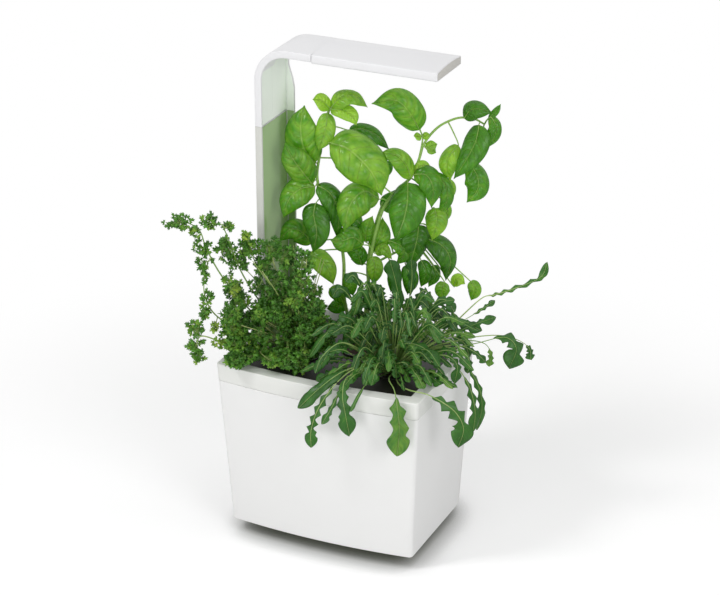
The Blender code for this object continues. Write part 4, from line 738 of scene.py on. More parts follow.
def leaf_tissue(name, deep, pale, young, vein, gloss, through, vein_share=0.42, quilt=0.9 * mm):
    """Living leaf: waxy and glossy above, lit from behind in a yellower green, with paler veins that hook
    towards the tip. Tone picks a leaf's colour, from deep through pale to young, and mottling varies it."""
    material, tree = blank_material(name)
    places = drawn_places(tree, "leaf")
    outward = maths(tree, "ABSOLUTE", maths(tree, "SUBTRACT", places["Y"], 0.5))
    reach = maths(tree, "MULTIPLY", outward, 2.0)
    hook = maths(tree, "MULTIPLY_ADD", reach, vein_hook, vein_rise)
    root = maths(tree, "SUBTRACT", places["X"], maths(tree, "MULTIPLY", hook, reach))
    comb = maths(tree, "PINGPONG", maths(tree, "MULTIPLY", root, vein_count), 0.5)
    side_vein = ranged(tree, comb, 0, ranged(tree, reach, 0, 1, *side_vein_widths), 0.8, 0)
    veins = maths(tree, "MAXIMUM", side_vein, ranged(tree, outward, *mid_vein_widths, 1, 0))
    mottle = noise(tree, mottle_size, 3.0)
    shade = ranged(tree, mottle, 0.3, 0.7, -mottle_shift, mottle_shift)
    shade = maths(tree, "ADD", shade, ranged(tree, comb, 0, 0.5, *rib_shift))
    ramp = add_node(tree, "ValToRGB", {"Fac": maths(tree, "ADD", drawn_places(tree, "tone")["X"], shade)})
    ramp.color_ramp.elements[0].color = linear(deep)
    ramp.color_ramp.elements[1].color = linear(young)
    ramp.color_ramp.elements.new(0.5).color = linear(pale)
    veined = maths(tree, "MULTIPLY", veins, vein_share)
    colour = mixed(tree, veined, ramp.outputs["Color"], linear(vein))
    grained = bumped(tree, noise(tree, tissue_grain, 2.0), tissue_depth, 0.25)
    skin = add_node(tree, "BsdfPrincipled", {
        "Base Color": colour,
        "Roughness": ranged(tree, mottle, 0, 1, gloss - tissue_spread, gloss + tissue_spread),
        "Normal": bumped(tree, veins, -quilt, 1.0, Normal=grained),
    })
    lit = add_node(tree, "HueSaturation", {"Saturation": 1.15, "Value": 1.5, "Color": colour})
    back = add_node(tree, "BsdfTranslucent", {"Color": lit.outputs["Color"]})
    mix = add_node(tree, "MixShader", {"Fac": through, 1: skin.outputs["BSDF"], 2: back.outputs["BSDF"]})
    add_node(tree, "OutputMaterial", {"Surface": mix.outputs["Shader"]})
    return material


def ovate(share):
    """Half-width of a basil leaf along its length: full near the base, drawn out to a short point."""
    body = np.clip(1 - np.abs(2 * share ** 0.86 - 1) ** 2.1, 0, 1) ** (0.56 + 0.62 * share ** 2.5)
    return body * (1 - 0.15 * share ** 7)


basil_bow, basil_tip_drop = 0.10, 0.06
foot_twist, tip_twist = 0.25, 0.35
cup_turn = 3.4
puff_rise, ripple_rise, rib_sink = 0.062, 0.045, 0.030


def basil_leaf(sheaf, points, facing, width, cup, tone, seed):
    """Adds one basil leaf along its path: bowed and cupped like a spoon, puffed between its side veins."""
    chance = np.random.default_rng(seed)
    steps, wide = 30, 16
    share = np.linspace(0, 1, steps + 1)
    mid = smooth_path(points, steps)
    length = np.linalg.norm(np.diff(mid, axis=0), axis=1).sum()
    tangent = unit(np.gradient(mid, axis=0))
    side = unit(np.cross(tangent, facing))
    for _ in range(4):
        side[1:-1] = unit(side[:-2] + side[1:-1] + side[2:])
    normal = unit(np.cross(side, tangent))
    bow = basil_bow * length * np.sin(np.pi * share) - basil_tip_drop * length * share ** 4
    mid = mid + normal * bow[:, None]
    twist = (chance.uniform(-foot_twist, foot_twist) + chance.uniform(-tip_twist, tip_twist) * share)[:, None]
    level, tilt = np.cos(twist), np.sin(twist)
    side, normal = side * level + normal * tilt, normal * level - side * tilt
    half = np.maximum(ovate(share), 0.02) * width / 2
    fullness = (half / half.max())[:, None]
    u, v = np.meshgrid(share, np.linspace(-1, 1, wide + 1), indexing="ij")
    reach = np.abs(v)
    comb = vein_count * (u - vein_rise * reach - vein_hook * reach ** 2)
    puff = np.abs(np.sin(np.pi * comb)) ** 0.6 * np.sin(np.pi * reach) ** 0.7
    ripple = np.sin(u * 9 + chance.uniform(0, 6) + v * 2) * reach ** 3
    bend = cup * cup_turn * reach
    across = np.sin(bend) / np.maximum(bend, 0.01) * v
    drop = (1 - np.cos(bend)) / np.maximum(cup * cup_turn, 0.01)
    lift = -half[:, None] * drop + width * (puff_rise * puff + ripple_rise * ripple) * fullness
    lift -= rib_sink * width * np.exp(-(v / 0.10) ** 2) * fullness
    rows = mid[:, None] + side[:, None] * (half[:, None] * across)[..., None]
    rows = rows + normal[:, None] * lift[..., None]
    sheaf.grid(rows, np.stack((u, v * 0.5 + 0.5), -1), tone)
    return mid


# Each stem is a list of (across, back, up) shares, with its radius at the foot and at the tip.
basil_stem_shares = {
    "left": [(-0.03, 0, 0), (-0.17, 0.02, 0.256), (-0.18, 0.04, 0.472), (-0.26, 0.04, 0.677),
     (-0.44, 0.03, 0.864), (-0.42, 0.03, 1.014), (-0.37, 0.02, 1.156), (-0.32, 0, 1.24)],
    "right": [(0.02, 0, 0), (0.07, -0.02, 0.314), (0.11, -0.03, 0.516), (0.22, -0.03, 0.736),
     (0.37, -0.01, 0.837), (0.51, 0, 0.9), (0.59, 0.01, 0.983), (0.63, 0.02, 1.051)],
    "twig": [(0.59, 0.01, 0.983), (0.62, 0.02, 1.051), (0.63, 0.02, 1.101), (0.6, 0.02, 1.141)],
    "bough": [(0.63, 0.02, 1.051), (0.69, 0.03, 1.099), (0.8, 0.05, 1.15), (0.94, 0.07, 1.181),
     (1.05, 0.08, 1.189), (1.17, 0.07, 1.181), (1.26, 0.04, 1.162)],
    "low": [(0.11, -0.03, 0.456), (0.34, 0.02, 0.506), (0.63, 0.06, 0.573), (0.73, 0.04, 0.727)],
    "middle": [(0, 0.02, -0.004), (0.09, 0.08, 0.224), (0.07, 0.11, 0.428), (0.15, 0.12, 0.636),
     (0.23, 0.12, 0.756)],
}
# Each leaf: its stem, its path, width in mm, how its face leans across and up, tone and cup. The tone is
# partly the leaf's own colour, young leaves paler, and partly painted shade, darker for leaves set behind the
# others.
basil_leaf_shares = [
    ("left", [(-0.31, -0.02, 1.249), (-0.4, -0.06, 1.292), (-0.48, -0.1, 1.31)], 19.5, (-0.2, 0.9),
     0.92, 0.16),
    ("left", [(-0.3, -0.02, 1.254), (-0.2, -0.033, 1.297), (-0.06, -0.047, 1.309),
     (0.08, -0.06, 1.267)], 26.3, (0.1, 1.3), 0.74, 0.2),
    ("left", [(-0.31, -0.03, 1.246), (-0.19, -0.073, 1.245), (-0.09, -0.117, 1.224),
     (-0.04, -0.16, 1.192)], 18.3, (0.2, 1), 0.9, 0.16),
    ("left", [(-0.34, -0.02, 1.229), (-0.36, -0.047, 1.169), (-0.39, -0.073, 1.11),
     (-0.43, -0.1, 1.05)], 22.9, (0.3, 0.5), 0.76, 0.18),
    ("left", [(-0.47, 0.02, 0.971), (-0.58, 0.033, 1.048), (-0.61, 0.047, 1.151),
     (-0.58, 0.06, 1.248)], 44.7, (-0.1, 0.35), 0.62, 0.2),
    ("left", [(-0.5, -0.02, 0.874), (-0.6, -0.047, 0.939), (-0.7, -0.073, 1.015),
     (-0.77, -0.1, 1.085)], 35.5, (-0.3, 0.8), 0.58, 0.2),
    ("right", [(-0.32, -0.12, 1.089), (-0.16, -0.165, 1.078), (0.01, -0.21, 1.018), (0.14, -0.255, 0.947),
     (0.21, -0.3, 0.861)], 55, (-0.25, 0.8), 0.7, 0.24),
    ("left", [(-0.12, 0.06, 1.128), (0.01, 0.073, 1.125), (0.17, 0.087, 1.087),
     (0.31, 0.1, 1.025)], 22.9, (0.1, 1.1), 0.36, 0.18),
    ("left", [(0.23, 0.08, 0.964), (0.28, 0.08, 0.934), (0.23, 0.08, 0.874)], 11.5, (0.2, 0.6), 0.46, 0.12),
    ("left", [(-0.47, -0.02, 0.859), (-0.61, -0.053, 0.846), (-0.73, -0.087, 0.798),
     (-0.81, -0.12, 0.719)], 35.5, (-0.3, 0.9), 0.56, 0.22),
    ("left", [(-0.45, 0, 0.86), (-0.34, -0.02, 0.824), (-0.25, -0.04, 0.733),
     (-0.23, -0.06, 0.587)], 28.6, (0.35, 0.6), 0.3, 0.2),
    ("left", [(-0.46, -0.1, 0.79), (-0.48, -0.147, 0.74), (-0.45, -0.193, 0.649),
     (-0.5, -0.24, 0.559)], 33.2, (-0.15, 0.5), 0.26, 0.22),
    ("right", [(0.19, -0.06, 0.802), (0.03, -0.127, 0.841), (-0.11, -0.193, 0.779),
     (-0.18, -0.26, 0.673)], 43.5, (-0.2, 1), 0.62, 0.26),
    ("right", [(0.03, -0.05, 0.565), (-0.08, -0.1, 0.605), (-0.19, -0.15, 0.6),
     (-0.3, -0.2, 0.621)], 32.1, (0, 1), 0.55, 0.26),
    ("right", [(0.05, 0.04, 0.562), (0.06, 0.06, 0.618), (0.12, 0.08, 0.689)], 20.6, (-0.1, 0.5), 0.6, 0.16),
    ("right", [(0.12, 0.02, 0.516), (0.2, 0.04, 0.587), (0.23, 0.06, 0.683)], 22.9, (0.2, 0.5), 0.62, 0.16),
    ("right", [(0.12, -0.06, 0.507), (0.15, -0.09, 0.448), (0.13, -0.12, 0.369)], 19.5, (0, 0.5), 0.72, 0.2),
    ("right", [(-0.11, 0, 0.41), (-0.11, -0.02, 0.354), (-0.08, -0.04, 0.293)], 17.2, (0, 0.5), 0.56, 0.18),
    ("left", [(-0.54, -0.02, 0.514), (-0.44, -0.06, 0.492), (-0.34, -0.1, 0.445),
     (-0.28, -0.14, 0.373)], 26.3, (0.1, 0.8), 0.72, 0.18),
    ("left", [(-0.5, 0.08, 0.549), (-0.61, 0.06, 0.603), (-0.73, 0.04, 0.622),
     (-0.86, 0.02, 0.571)], 28.6, (-0.2, 0.9), 0.54, 0.22),
    ("left", [(-0.33, 0, 0.325), (-0.25, -0.02, 0.304), (-0.16, -0.04, 0.248)], 17.2, (0, 0.8), 0.54, 0.18),
    ("twig", [(0.6, 0.02, 1.136), (0.5, 0, 1.215), (0.35, -0.02, 1.284),
     (0.11, -0.04, 1.283)], 35.5, (-0.15, 0.75), 0.6, 0.2),
    ("twig", [(0.62, 0, 1.105), (0.54, -0.04, 1.118)], 10.3, (0, 0.8), 0.88, 0.12),
    ("twig", [(0.63, 0.02, 1.101), (0.7, 0, 1.12)], 9.2, (0.2, 0.8), 0.85, 0.12),
    ("bough", [(0.66, 0, 1.05), (0.78, -0.02, 1.074)], 12.6, (0.1, 0.8), 0.82, 0.14),
    ("right", [(0.68, -0.02, 1.049), (0.77, -0.04, 1.033)], 9.2, (0.1, 0.8), 0.76, 0.12),
    ("bough", [(1.05, 0.06, 1.188), (1.15, 0.02, 1.236), (1.33, -0.02, 1.234)], 25.2, (0, 0.9), 0.34, 0.26),
    ("bough", [(1.3, 0.04, 1.187), (1.37, 0.04, 1.222), (1.42, 0.04, 1.262)], 8, (0.1, 0.9), 0.46, 0.1),
    ("bough", [(1.32, 0.02, 1.201), (1.37, 0.007, 1.159), (1.35, -0.007, 1.101),
     (1.27, -0.02, 1.044)], 19.5, (0.3, 0.5), 0.52, 0.2),
    ("bough", [(1.2, -0.03, 1.171), (1.18, -0.06, 1.097), (1.09, -0.09, 1.013),
     (0.94, -0.12, 0.914)], 32.1, (-0.2, 0.5), 0.38, 0.2),
    ("bough", [(1, 0.05, 1.055), (0.91, 0.033, 0.998), (0.89, 0.017, 0.942),
     (0.92, 0, 0.885)], 22.9, (-0.35, 0.5), 0.78, 0.16),
    ("bough", [(1.12, 0, 0.97), (1.19, -0.02, 0.909), (1.19, -0.04, 0.843),
     (1.09, -0.06, 0.782)], 30.9, (0.2, 0.5), 0.5, 0.24),
    ("right", [(0.52, -0.06, 0.907), (0.45, -0.087, 0.978), (0.33, -0.113, 1.033),
     (0.17, -0.14, 1.043)], 25.2, (-0.1, 0.95), 0.74, 0.2),
    ("right", [(0.54, -0.02, 0.924), (0.63, -0.02, 0.964), (0.74, -0.02, 0.944)], 12.6, (0.1, 1), 0.92, 0.14),
    ("right", [(0.48, -0.08, 0.891), (0.48, -0.14, 0.813), (0.44, -0.2, 0.721),
     (0.35, -0.26, 0.618)], 43.5, (-0.05, 0.45), 0.42, 0.2),
    ("right", [(0.54, -0.06, 0.927), (0.66, -0.1, 0.925), (0.73, -0.14, 0.868),
     (0.73, -0.18, 0.776)], 29.8, (0.25, 0.8), 0.46, 0.22),
    ("right", [(0.76, 0, 0.925), (0.85, -0.013, 0.863), (0.87, -0.027, 0.785),
     (0.8, -0.04, 0.713)], 17.2, (0.45, 0.6), 0.52, 0.18),
    ("right", [(0.85, 0.04, 0.887), (0.92, 0.04, 0.832), (0.88, 0.04, 0.757)], 17.2, (0.4, 0.7), 0.8, 0.16),
    ("low", [(0.76, -0.02, 0.749), (0.78, -0.05, 0.69), (0.74, -0.08, 0.591)], 27.5, (0.1, 0.6), 0.74, 0.22),
    ("right", [(0.85, 0.06, 0.773), (0.89, 0.06, 0.713), (0.83, 0.06, 0.648)], 11.5, (0.4, 0.6), 0.7, 0.14),
    ("low", [(0.67, 0.02, 0.586), (0.82, 0.013, 0.547), (0.92, 0.007, 0.469),
     (0.9, 0, 0.36)], 32.1, (0.35, 0.8), 0.24, 0.22),
    ("low", [(0.6, 0.02, 0.656), (0.58, -0.01, 0.572), (0.5, -0.04, 0.433)], 35.5, (0, 0.55), 0.28, 0.2),
    ("right", [(0.15, -0.05, 0.52), (0.23, -0.075, 0.55), (0.33, -0.1, 0.5)], 16, (0.1, 1), 0.74, 0.18),
    ("low", [(0.29, -0.02, 0.579), (0.4, -0.033, 0.557), (0.44, -0.047, 0.509),
     (0.36, -0.06, 0.462)], 17.2, (0.2, 0.8), 0.5, 0.2),
    ("low", [(0.88, 0.04, 0.352), (0.85, 0.03, 0.309), (0.87, 0.02, 0.261)], 18.3, (0.1, 0.6), 0.6, 0.18),
    ("low", [(0.97, 0.06, 0.328), (1.02, 0.05, 0.365), (1.1, 0.04, 0.342)], 14.9, (0.1, 0.9), 0.96, 0.16),
    ("low", [(1.15, 0.06, 0.353), (1.2, 0.05, 0.31), (1.16, 0.04, 0.252)], 17.2, (0.2, 0.7), 0.66, 0.18),
    ("low", [(0.31, -0.02, 0.459), (0.36, -0.04, 0.393), (0.31, -0.06, 0.317)], 18.3, (0, 0.5), 0.3, 0.18),
    ("low", [(0.47, 0.02, 0.446), (0.52, 0, 0.375), (0.49, -0.02, 0.294)], 19.5, (0.1, 0.5), 0.26, 0.18),
    ("low", [(0.63, 0.05, 0.465), (0.68, 0.04, 0.402), (0.63, 0.03, 0.324)], 17.2, (0.1, 0.5), 0.32, 0.18),
    ("low", [(0.76, 0.06, 0.438), (0.78, 0.055, 0.384), (0.71, 0.05, 0.32)], 14.9, (0.2, 0.5), 0.36, 0.16),
    ("middle", [(0.01, 0.1, 0.43), (-0.04, 0.12, 0.486), (-0.16, 0.14, 0.502)], 20.6, (-0.1, 0.8),
     0.44, 0.18),
    ("middle", [(0.07, 0.1, 0.24), (0.17, 0.08, 0.244), (0.25, 0.06, 0.208)], 19.5, (0.1, 0.9), 0.4, 0.18),
    ("middle", [(0.01, 0.12, 0.636), (-0.09, 0.14, 0.662), (-0.21, 0.16, 0.658)], 22.9, (-0.1, 0.8),
     0.4, 0.18),
    ("middle", [(0.23, 0.12, 0.711), (0.31, 0.15, 0.75), (0.35, 0.18, 0.804)], 22.9, (0.1, 0.8), 0.42, 0.18),
    ("left", [(-0.16, 0.08, 0.244), (-0.24, 0.05, 0.22), (-0.36, 0.02, 0.216)], 18.3, (-0.1, 0.9),
     0.46, 0.18),
]
basil_upper = leaf_tissue("basil_upper_tissue", "#2c6316", "#5d9f25", "#b3d650", "#c9e08c", 0.27, 0.42)
basil_under = leaf_tissue("basil_under_tissue", "#56883a", "#86b552", "#bcd86e", "#d8e6ac", 0.48, 0.42)
basil_rind = leaf_tissue("basil_stem_rind", "#6f9a45", "#94bd5a", "#b9d57a", "#a8c874", 0.45, 0.15, 0.0)
leaves = Sheaf()
rods = Sheaf()
basil_paths = {key: smooth_path([at("basil", *shares) for shares in path], 8 * (len(path) - 1))
               for key, path in basil_stem_shares.items()}
stem_radii = {"left": (2.1, 1.2), "right": (2.2, 1.4), "twig": (1.1, 0.8), "bough": (1.5, 1.0),
              "low": (1.4, 1.0), "middle": (1.8, 1.0)}
leaf_stalk_radii = (0.9 * mm, 0.3 * mm)
stalk_rise = 1.5 * mm
for key, path in basil_paths.items():
    start, end = stem_radii[key]
    rods.tube(path, start * mm, end * mm, 0.45, 8)
for number, (key, path, width, lean, tone, cup) in enumerate(basil_leaf_shares):
    points = [at("basil", *shares) for shares in path]
    mid = basil_leaf(leaves, points, heading(lean[0], -1, lean[1]), width * mm, cup, tone, number)
    stem = basil_paths[key]
    nearest = stem[np.argmin(np.linalg.norm(stem - mid[0], axis=1))]
    sag = mid[0] * 0.5 + nearest * 0.5 + upward * stalk_rise
    rods.tube(smooth_path([nearest, sag, mid[0], mid[4], mid[10]], 16), *leaf_stalk_radii, 0.55, 6)
leaves.piece("basil_leaves", [basil_upper, basil_under], "basil_pod", "basil_leaf", "basil_plant", 0.4 * mm)
rods.piece("basil_stems", [basil_rind], "basil_pod", "basil_leaf", "basil_plant")


# Parsley: many thin stalks, each with sprays of small ruffled leaflets that are cut into three lobes with
# rounded teeth. The crown of the plant is dense, and its oldest stalks hang out over the rim.
parsley_upper = leaf_tissue("parsley_upper_tissue", "#2f6119", "#5f9c2f", "#b3cc52", "#8fbf5a", 0.42, 0.35,
                            0.25, 0)
parsley_under = leaf_tissue("parsley_under_tissue", "#4a7a3a", "#77a94f", "#bfd470", "#9cc36d", 0.5, 0.35,
                            0.25, 0)
parsley_rind = leaf_tissue("parsley_stalk_rind", "#6d9440", "#8fb25c", "#c4cf86", "#a8c874", 0.45, 0.15, 0.0)


# The leaflet's outline: the turn from its middle in degrees, and its reach as a share of its size.
leaflet_outline_shares = [(-118, 0.28), (-97, 0.76), (-77, 0.55), (-60, 0.80), (-39, 0.33), (-21, 0.84),
                          (-9, 0.70), (0, 1.0), (9, 0.70), (21, 0.84), (39, 0.33), (60, 0.80), (77, 0.55),
                          (97, 0.76), (118, 0.28)]


def leaflet(sheaf, base, outward, facing, size, ruffle, tone, chance):
    """Adds one three-lobed, toothed and ruffled leaflet, fanned out from its base."""
    side = unit(np.cross(outward, facing))
    top = np.cross(side, outward)
    turns, reaches = np.array(leaflet_outline_shares).T
    ring, turn = np.meshgrid((0.06, 0.55, 1.0), np.radians(turns), indexing="ij")
    reach = ring * (0.45 * (1 - ring) + ring * reaches[None, :]) * size
    curl = ruffle * size * ring ** 2 * np.sin(4.5 * turn + chance.uniform(0, 6)) - 0.25 * size * ring ** 2
    rows = base + outward * (reach * np.cos(turn))[..., None] + side * (reach * np.sin(turn))[..., None]
    sheaf.grid(rows + top * curl[..., None], np.stack((ring, turn / 4.2 + 0.5), -1), tone)


# Each stalk is a list of (across, back, up) shares.
parsley_stalk_shares = [
    [(-0.01, 0, 0), (-0.41, -0.2, 0.206), (-0.77, -0.38, 0.457), (-0.95, -0.44, 0.629),
     (-1.03, -0.5, 0.751), (-1.21, -0.55, 0.806)],
    [(-0.01, 0, 0), (-0.51, -0.2, 0.131), (-0.87, -0.36, 0.273), (-0.99, -0.42, 0.395),
     (-0.99, -0.42, 0.505)],
    [(-0.01, 0, 0), (-0.53, -0.2, 0.071), (-0.81, -0.38, 0.142), (-1.03, -0.46, 0.193),
     (-1.09, -0.46, 0.143), (-1.07, -0.46, 0.083)],
    [(-0.01, 0, 0), (-0.33, -0.15, 0.23), (-0.6, -0.28, 0.472), (-0.73, -0.38, 0.667), (-0.79, -0.46, 0.768)],
    [(-0.01, 0, 0), (-0.23, -0.14, 0.228), (-0.41, -0.24, 0.439), (-0.53, -0.32, 0.635)],
    [(-0.01, 0, 0), (-0.13, -0.14, 0.228), (-0.25, -0.26, 0.468), (-0.32, -0.32, 0.625)],
    [(0.01, 0, 0), (-0.01, -0.16, 0.232), (-0.01, -0.34, 0.434), (0.01, -0.36, 0.563)],
    [(-0.01, 0, 0), (-0.37, -0.2, 0.106), (-0.61, -0.34, 0.209), (-0.69, -0.36, 0.318)],
    [(-0.01, 0, 0), (-0.25, -0.18, 0.126), (-0.41, -0.3, 0.226), (-0.44, -0.34, 0.304)],
    [(0, 0, 0), (-0.13, -0.2, 0.131), (-0.19, -0.34, 0.269)],
    [(0.02, 0, 0), (0.03, -0.2, 0.131), (0.03, -0.36, 0.283)],
    [(-0.01, 0, 0), (-0.33, -0.25, 0.081), (-0.63, -0.4, 0.131)],
]
# Each spray: its middle as (across, back, up), half its spread across and up, how many leaflets, and tone.
parsley_spray_shares = [
    ((-1.235, -0.55, 0.796), (0.165, 0.045), 12, 0.35),
    ((-0.905, -0.5, 0.791), (0.135, 0.04), 9, 0.35),
    ((-0.735, -0.42, 0.753), (0.075, 0.022), 5, 0.4),
    ((-1.065, -0.5, 0.739), (0.075, 0.033), 6, 0.55),
    ((-1.005, -0.46, 0.653), (0.105, 0.04), 9, 0.35),
    ((-0.995, -0.44, 0.572), (0.115, 0.033), 9, 0.4),
    ((-0.995, -0.42, 0.49), (0.065, 0.035), 5, 0.45),
    ((-0.75, -0.38, 0.472), (0.06, 0.045), 6, 0.4),
    ((-0.965, -0.42, 0.388), (0.065, 0.043), 6, 0.45),
    ((-1, -0.42, 0.32), (0.07, 0.045), 7, 0.4),
    ((-1.08, -0.46, 0.226), (0.13, 0.058), 12, 0.45),
    ((-1.095, -0.46, 0.148), (0.105, 0.035), 9, 0.4),
    ((-1.065, -0.46, 0.086), (0.085, 0.037), 8, 0.5),
    ((-0.905, -0.42, 0.228), (0.055, 0.033), 5, 0.85),
    ((-0.855, -0.42, 0.15), (0.075, 0.03), 6, 0.85),
    ((-0.68, -0.34, 0.404), (0.04, 0.02), 4, 0.8),
    ((-0.56, -0.34, 0.699), (0.04, 0.02), 4, 0.7),
    ((-0.765, -0.34, 0.619), (0.135, 0.07), 18, 0.35),
    ((-0.54, -0.32, 0.632), (0.13, 0.068), 20, 0.35),
    ((-0.32, -0.32, 0.622), (0.13, 0.068), 20, 0.32),
    ((-0.16, -0.34, 0.574), (0.11, 0.065), 16, 0.3),
    ((-0.64, -0.3, 0.546), (0.13, 0.055), 15, 0.3),
    ((-0.37, -0.3, 0.521), (0.14, 0.06), 17, 0.28),
    ((0.015, -0.36, 0.558), (0.125, 0.075), 18, 0.28),
    ((-0.27, -0.34, 0.444), (0.14, 0.065), 14, 0.26),
    ((0, -0.4, 0.446), (0.16, 0.075), 20, 0.26),
    ((-0.21, -0.36, 0.368), (0.14, 0.055), 14, 0.26),
    ((-0.68, -0.36, 0.318), (0.13, 0.065), 16, 0.36),
    ((-0.44, -0.34, 0.304), (0.13, 0.065), 15, 0.32),
    ((-0.7, -0.38, 0.212), (0.13, 0.065), 16, 0.42),
    ((-0.45, -0.38, 0.192), (0.14, 0.065), 16, 0.34),
    ((-0.66, -0.4, 0.136), (0.13, 0.055), 15, 0.45),
    ((-0.42, -0.42, 0.105), (0.13, 0.05), 14, 0.38),
    ((-0.2, -0.36, 0.268), (0.13, 0.065), 16, 0.28),
    ((0.03, -0.38, 0.284), (0.13, 0.068), 16, 0.24),
    ((-0.18, -0.38, 0.152), (0.13, 0.065), 15, 0.26),
    ((0.045, -0.36, 0.158), (0.115, 0.065), 14, 0.22),
    ((-0.15, -0.42, 0.085), (0.12, 0.04), 12, 0.3),
    ((0.055, -0.4, 0.096), (0.095, 0.035), 10, 0.24),
]
crown_spray_count = 62
front_spray_count = 20
bare_stalk_count = 34
crown_spread, crown_leaflets = (0.11, 0.05), 11
front_spread, front_leaflets = (0.11, 0.03), 9
leaflet_density = 2.8
leaflet_sizes = (3.8 * mm, 6.4 * mm)
column_gap = (20 * mm, 10 * mm)
spray_depth = 10 * mm
leaves = Sheaf()
rods = Sheaf()
chance = np.random.default_rng(11)
joints = []
for path in parsley_stalk_shares:
    stalk = smooth_path([at("parsley", *shares) for shares in path], 8 * (len(path) - 1))
    rods.tube(stalk, 1.1 * mm, 0.5 * mm, chance.uniform(0.2, 0.9), 6)
    joints += list(stalk[8:])
joints = np.array(joints)
sprays = list(parsley_spray_shares)
for _ in range(crown_spray_count):
    across, back = chance.uniform(-0.78, 0.24), chance.uniform(-0.58, 0.22)
    rise = chance.uniform(0.08, 0.50 - 0.24 * abs(across + 0.2))
    sprays.append(((across, back, rise), crown_spread, crown_leaflets, chance.uniform(0.16, 0.55)))
for _ in range(front_spray_count):
    across, back, rise = chance.uniform(-0.72, 0.32), chance.uniform(-0.70, -0.42), chance.uniform(0.07, 0.15)
    sprays.append(((across, back, rise), front_spread, front_leaflets, chance.uniform(0.2, 0.5)))
for middle, spread, count, tone in sprays:
    centre = at("parsley", *middle)
    if centre[0] < lamp_inner + column_gap[0] and abs(centre[1]) < lamp_width / 2 + column_gap[1]:
        continue
    joint = joints[np.argmin(np.linalg.norm(joints - centre - upward * 3 * mm, axis=1))]
    bend = joint * 0.5 + centre * 0.5 - upward * 2 * mm
    stalk = smooth_path([joint, bend, centre], 10)
    rods.tube(stalk, 0.6 * mm, 0.4 * mm, chance.uniform(0.4, 0.9), 5)
    for _ in range(int(count * leaflet_density)):
        swing = unit(chance.normal(size=3)) * chance.uniform(0.1, 1) ** 0.5
        spot = centre + turned_across * (swing[0] * spread[0] * plant_reach)
        spot = spot + turned_back * (swing[1] * spray_depth) + upward * (swing[2] * spread[1] * plant_height)
        start = stalk[-1 - int(chance.integers(0, 5))]
        outward = unit(spot - start + upward * 2 * mm + turned_across * chance.uniform(-4, 4) * mm)
        facing = heading(chance.uniform(-0.8, 0.8), -1, chance.uniform(0.0, 2.2))
        size = chance.uniform(*leaflet_sizes)
        foot = spot - outward * size * 0.4
        rods.tube(smooth_path([start, foot], 1), 0.3 * mm, 0.2 * mm, 0.4, 3)
        ruffle, shift = chance.uniform(0.14, 0.34), chance.uniform(-0.2, 0.3)
        leaflet(leaves, foot, outward, facing, size, ruffle, tone + shift, chance)
for _ in range(bare_stalk_count):
    across, back = chance.uniform(-0.75, 0.25), chance.uniform(-0.6, 0.0)
    rise = chance.uniform(0.15, 0.6)
    path = [at("parsley", 0.02 * across, 0.02 * back, 0),
            at("parsley", 0.5 * across, 0.55 * back, rise * 0.6),
            at("parsley", across, back, rise)]
    rods.tube(smooth_path(path, 12), 0.9 * mm, 0.4 * mm, chance.uniform(0.6, 1.0), 5)
leaves.piece("parsley_leaves", [parsley_upper, parsley_under], "parsley_pod", "parsley_leaf", "parsley_plant",
             0.3 * mm)
rods.piece("parsley_stalks", [parsley_rind], "parsley_pod", "parsley_leaf", "parsley_plant")


# Rocket: long leaves with deep lobes on a pale, fleshy midrib. They rise out of the pod in a tuft, arch
# over and hang down outside the rim.
rocket_upper = leaf_tissue("rocket_upper_tissue", "#1f4a16", "#437f2c", "#93bb4a", "#8fb663", 0.36, 0.30,
                           0.25)
rocket_under = leaf_tissue("rocket_under_tissue", "#4f7a49", "#729e5d", "#abc576", "#a6c286", 0.5, 0.30,
                           0.3)
rocket_rind = leaf_tissue("rocket_midrib_rind", "#64903f", "#84a957", "#b9cb82", "#b9c98a", 0.4, 0.15, 0.0)


lobe_beat, side_shift = 1.15, 0.4
lobe_swell, lobe_sharpness = 0.62, 1.25
blade_foot, foot_fullness = 0.22, 0.62
end_lobe_from, end_blend_from, end_blend = 0.70, 0.68, 0.10
rib_radii = (0.95 * mm, 0.15 * mm)
wave_rise, rib_trough, lobe_sweep = 0.07, 0.03, 0.35


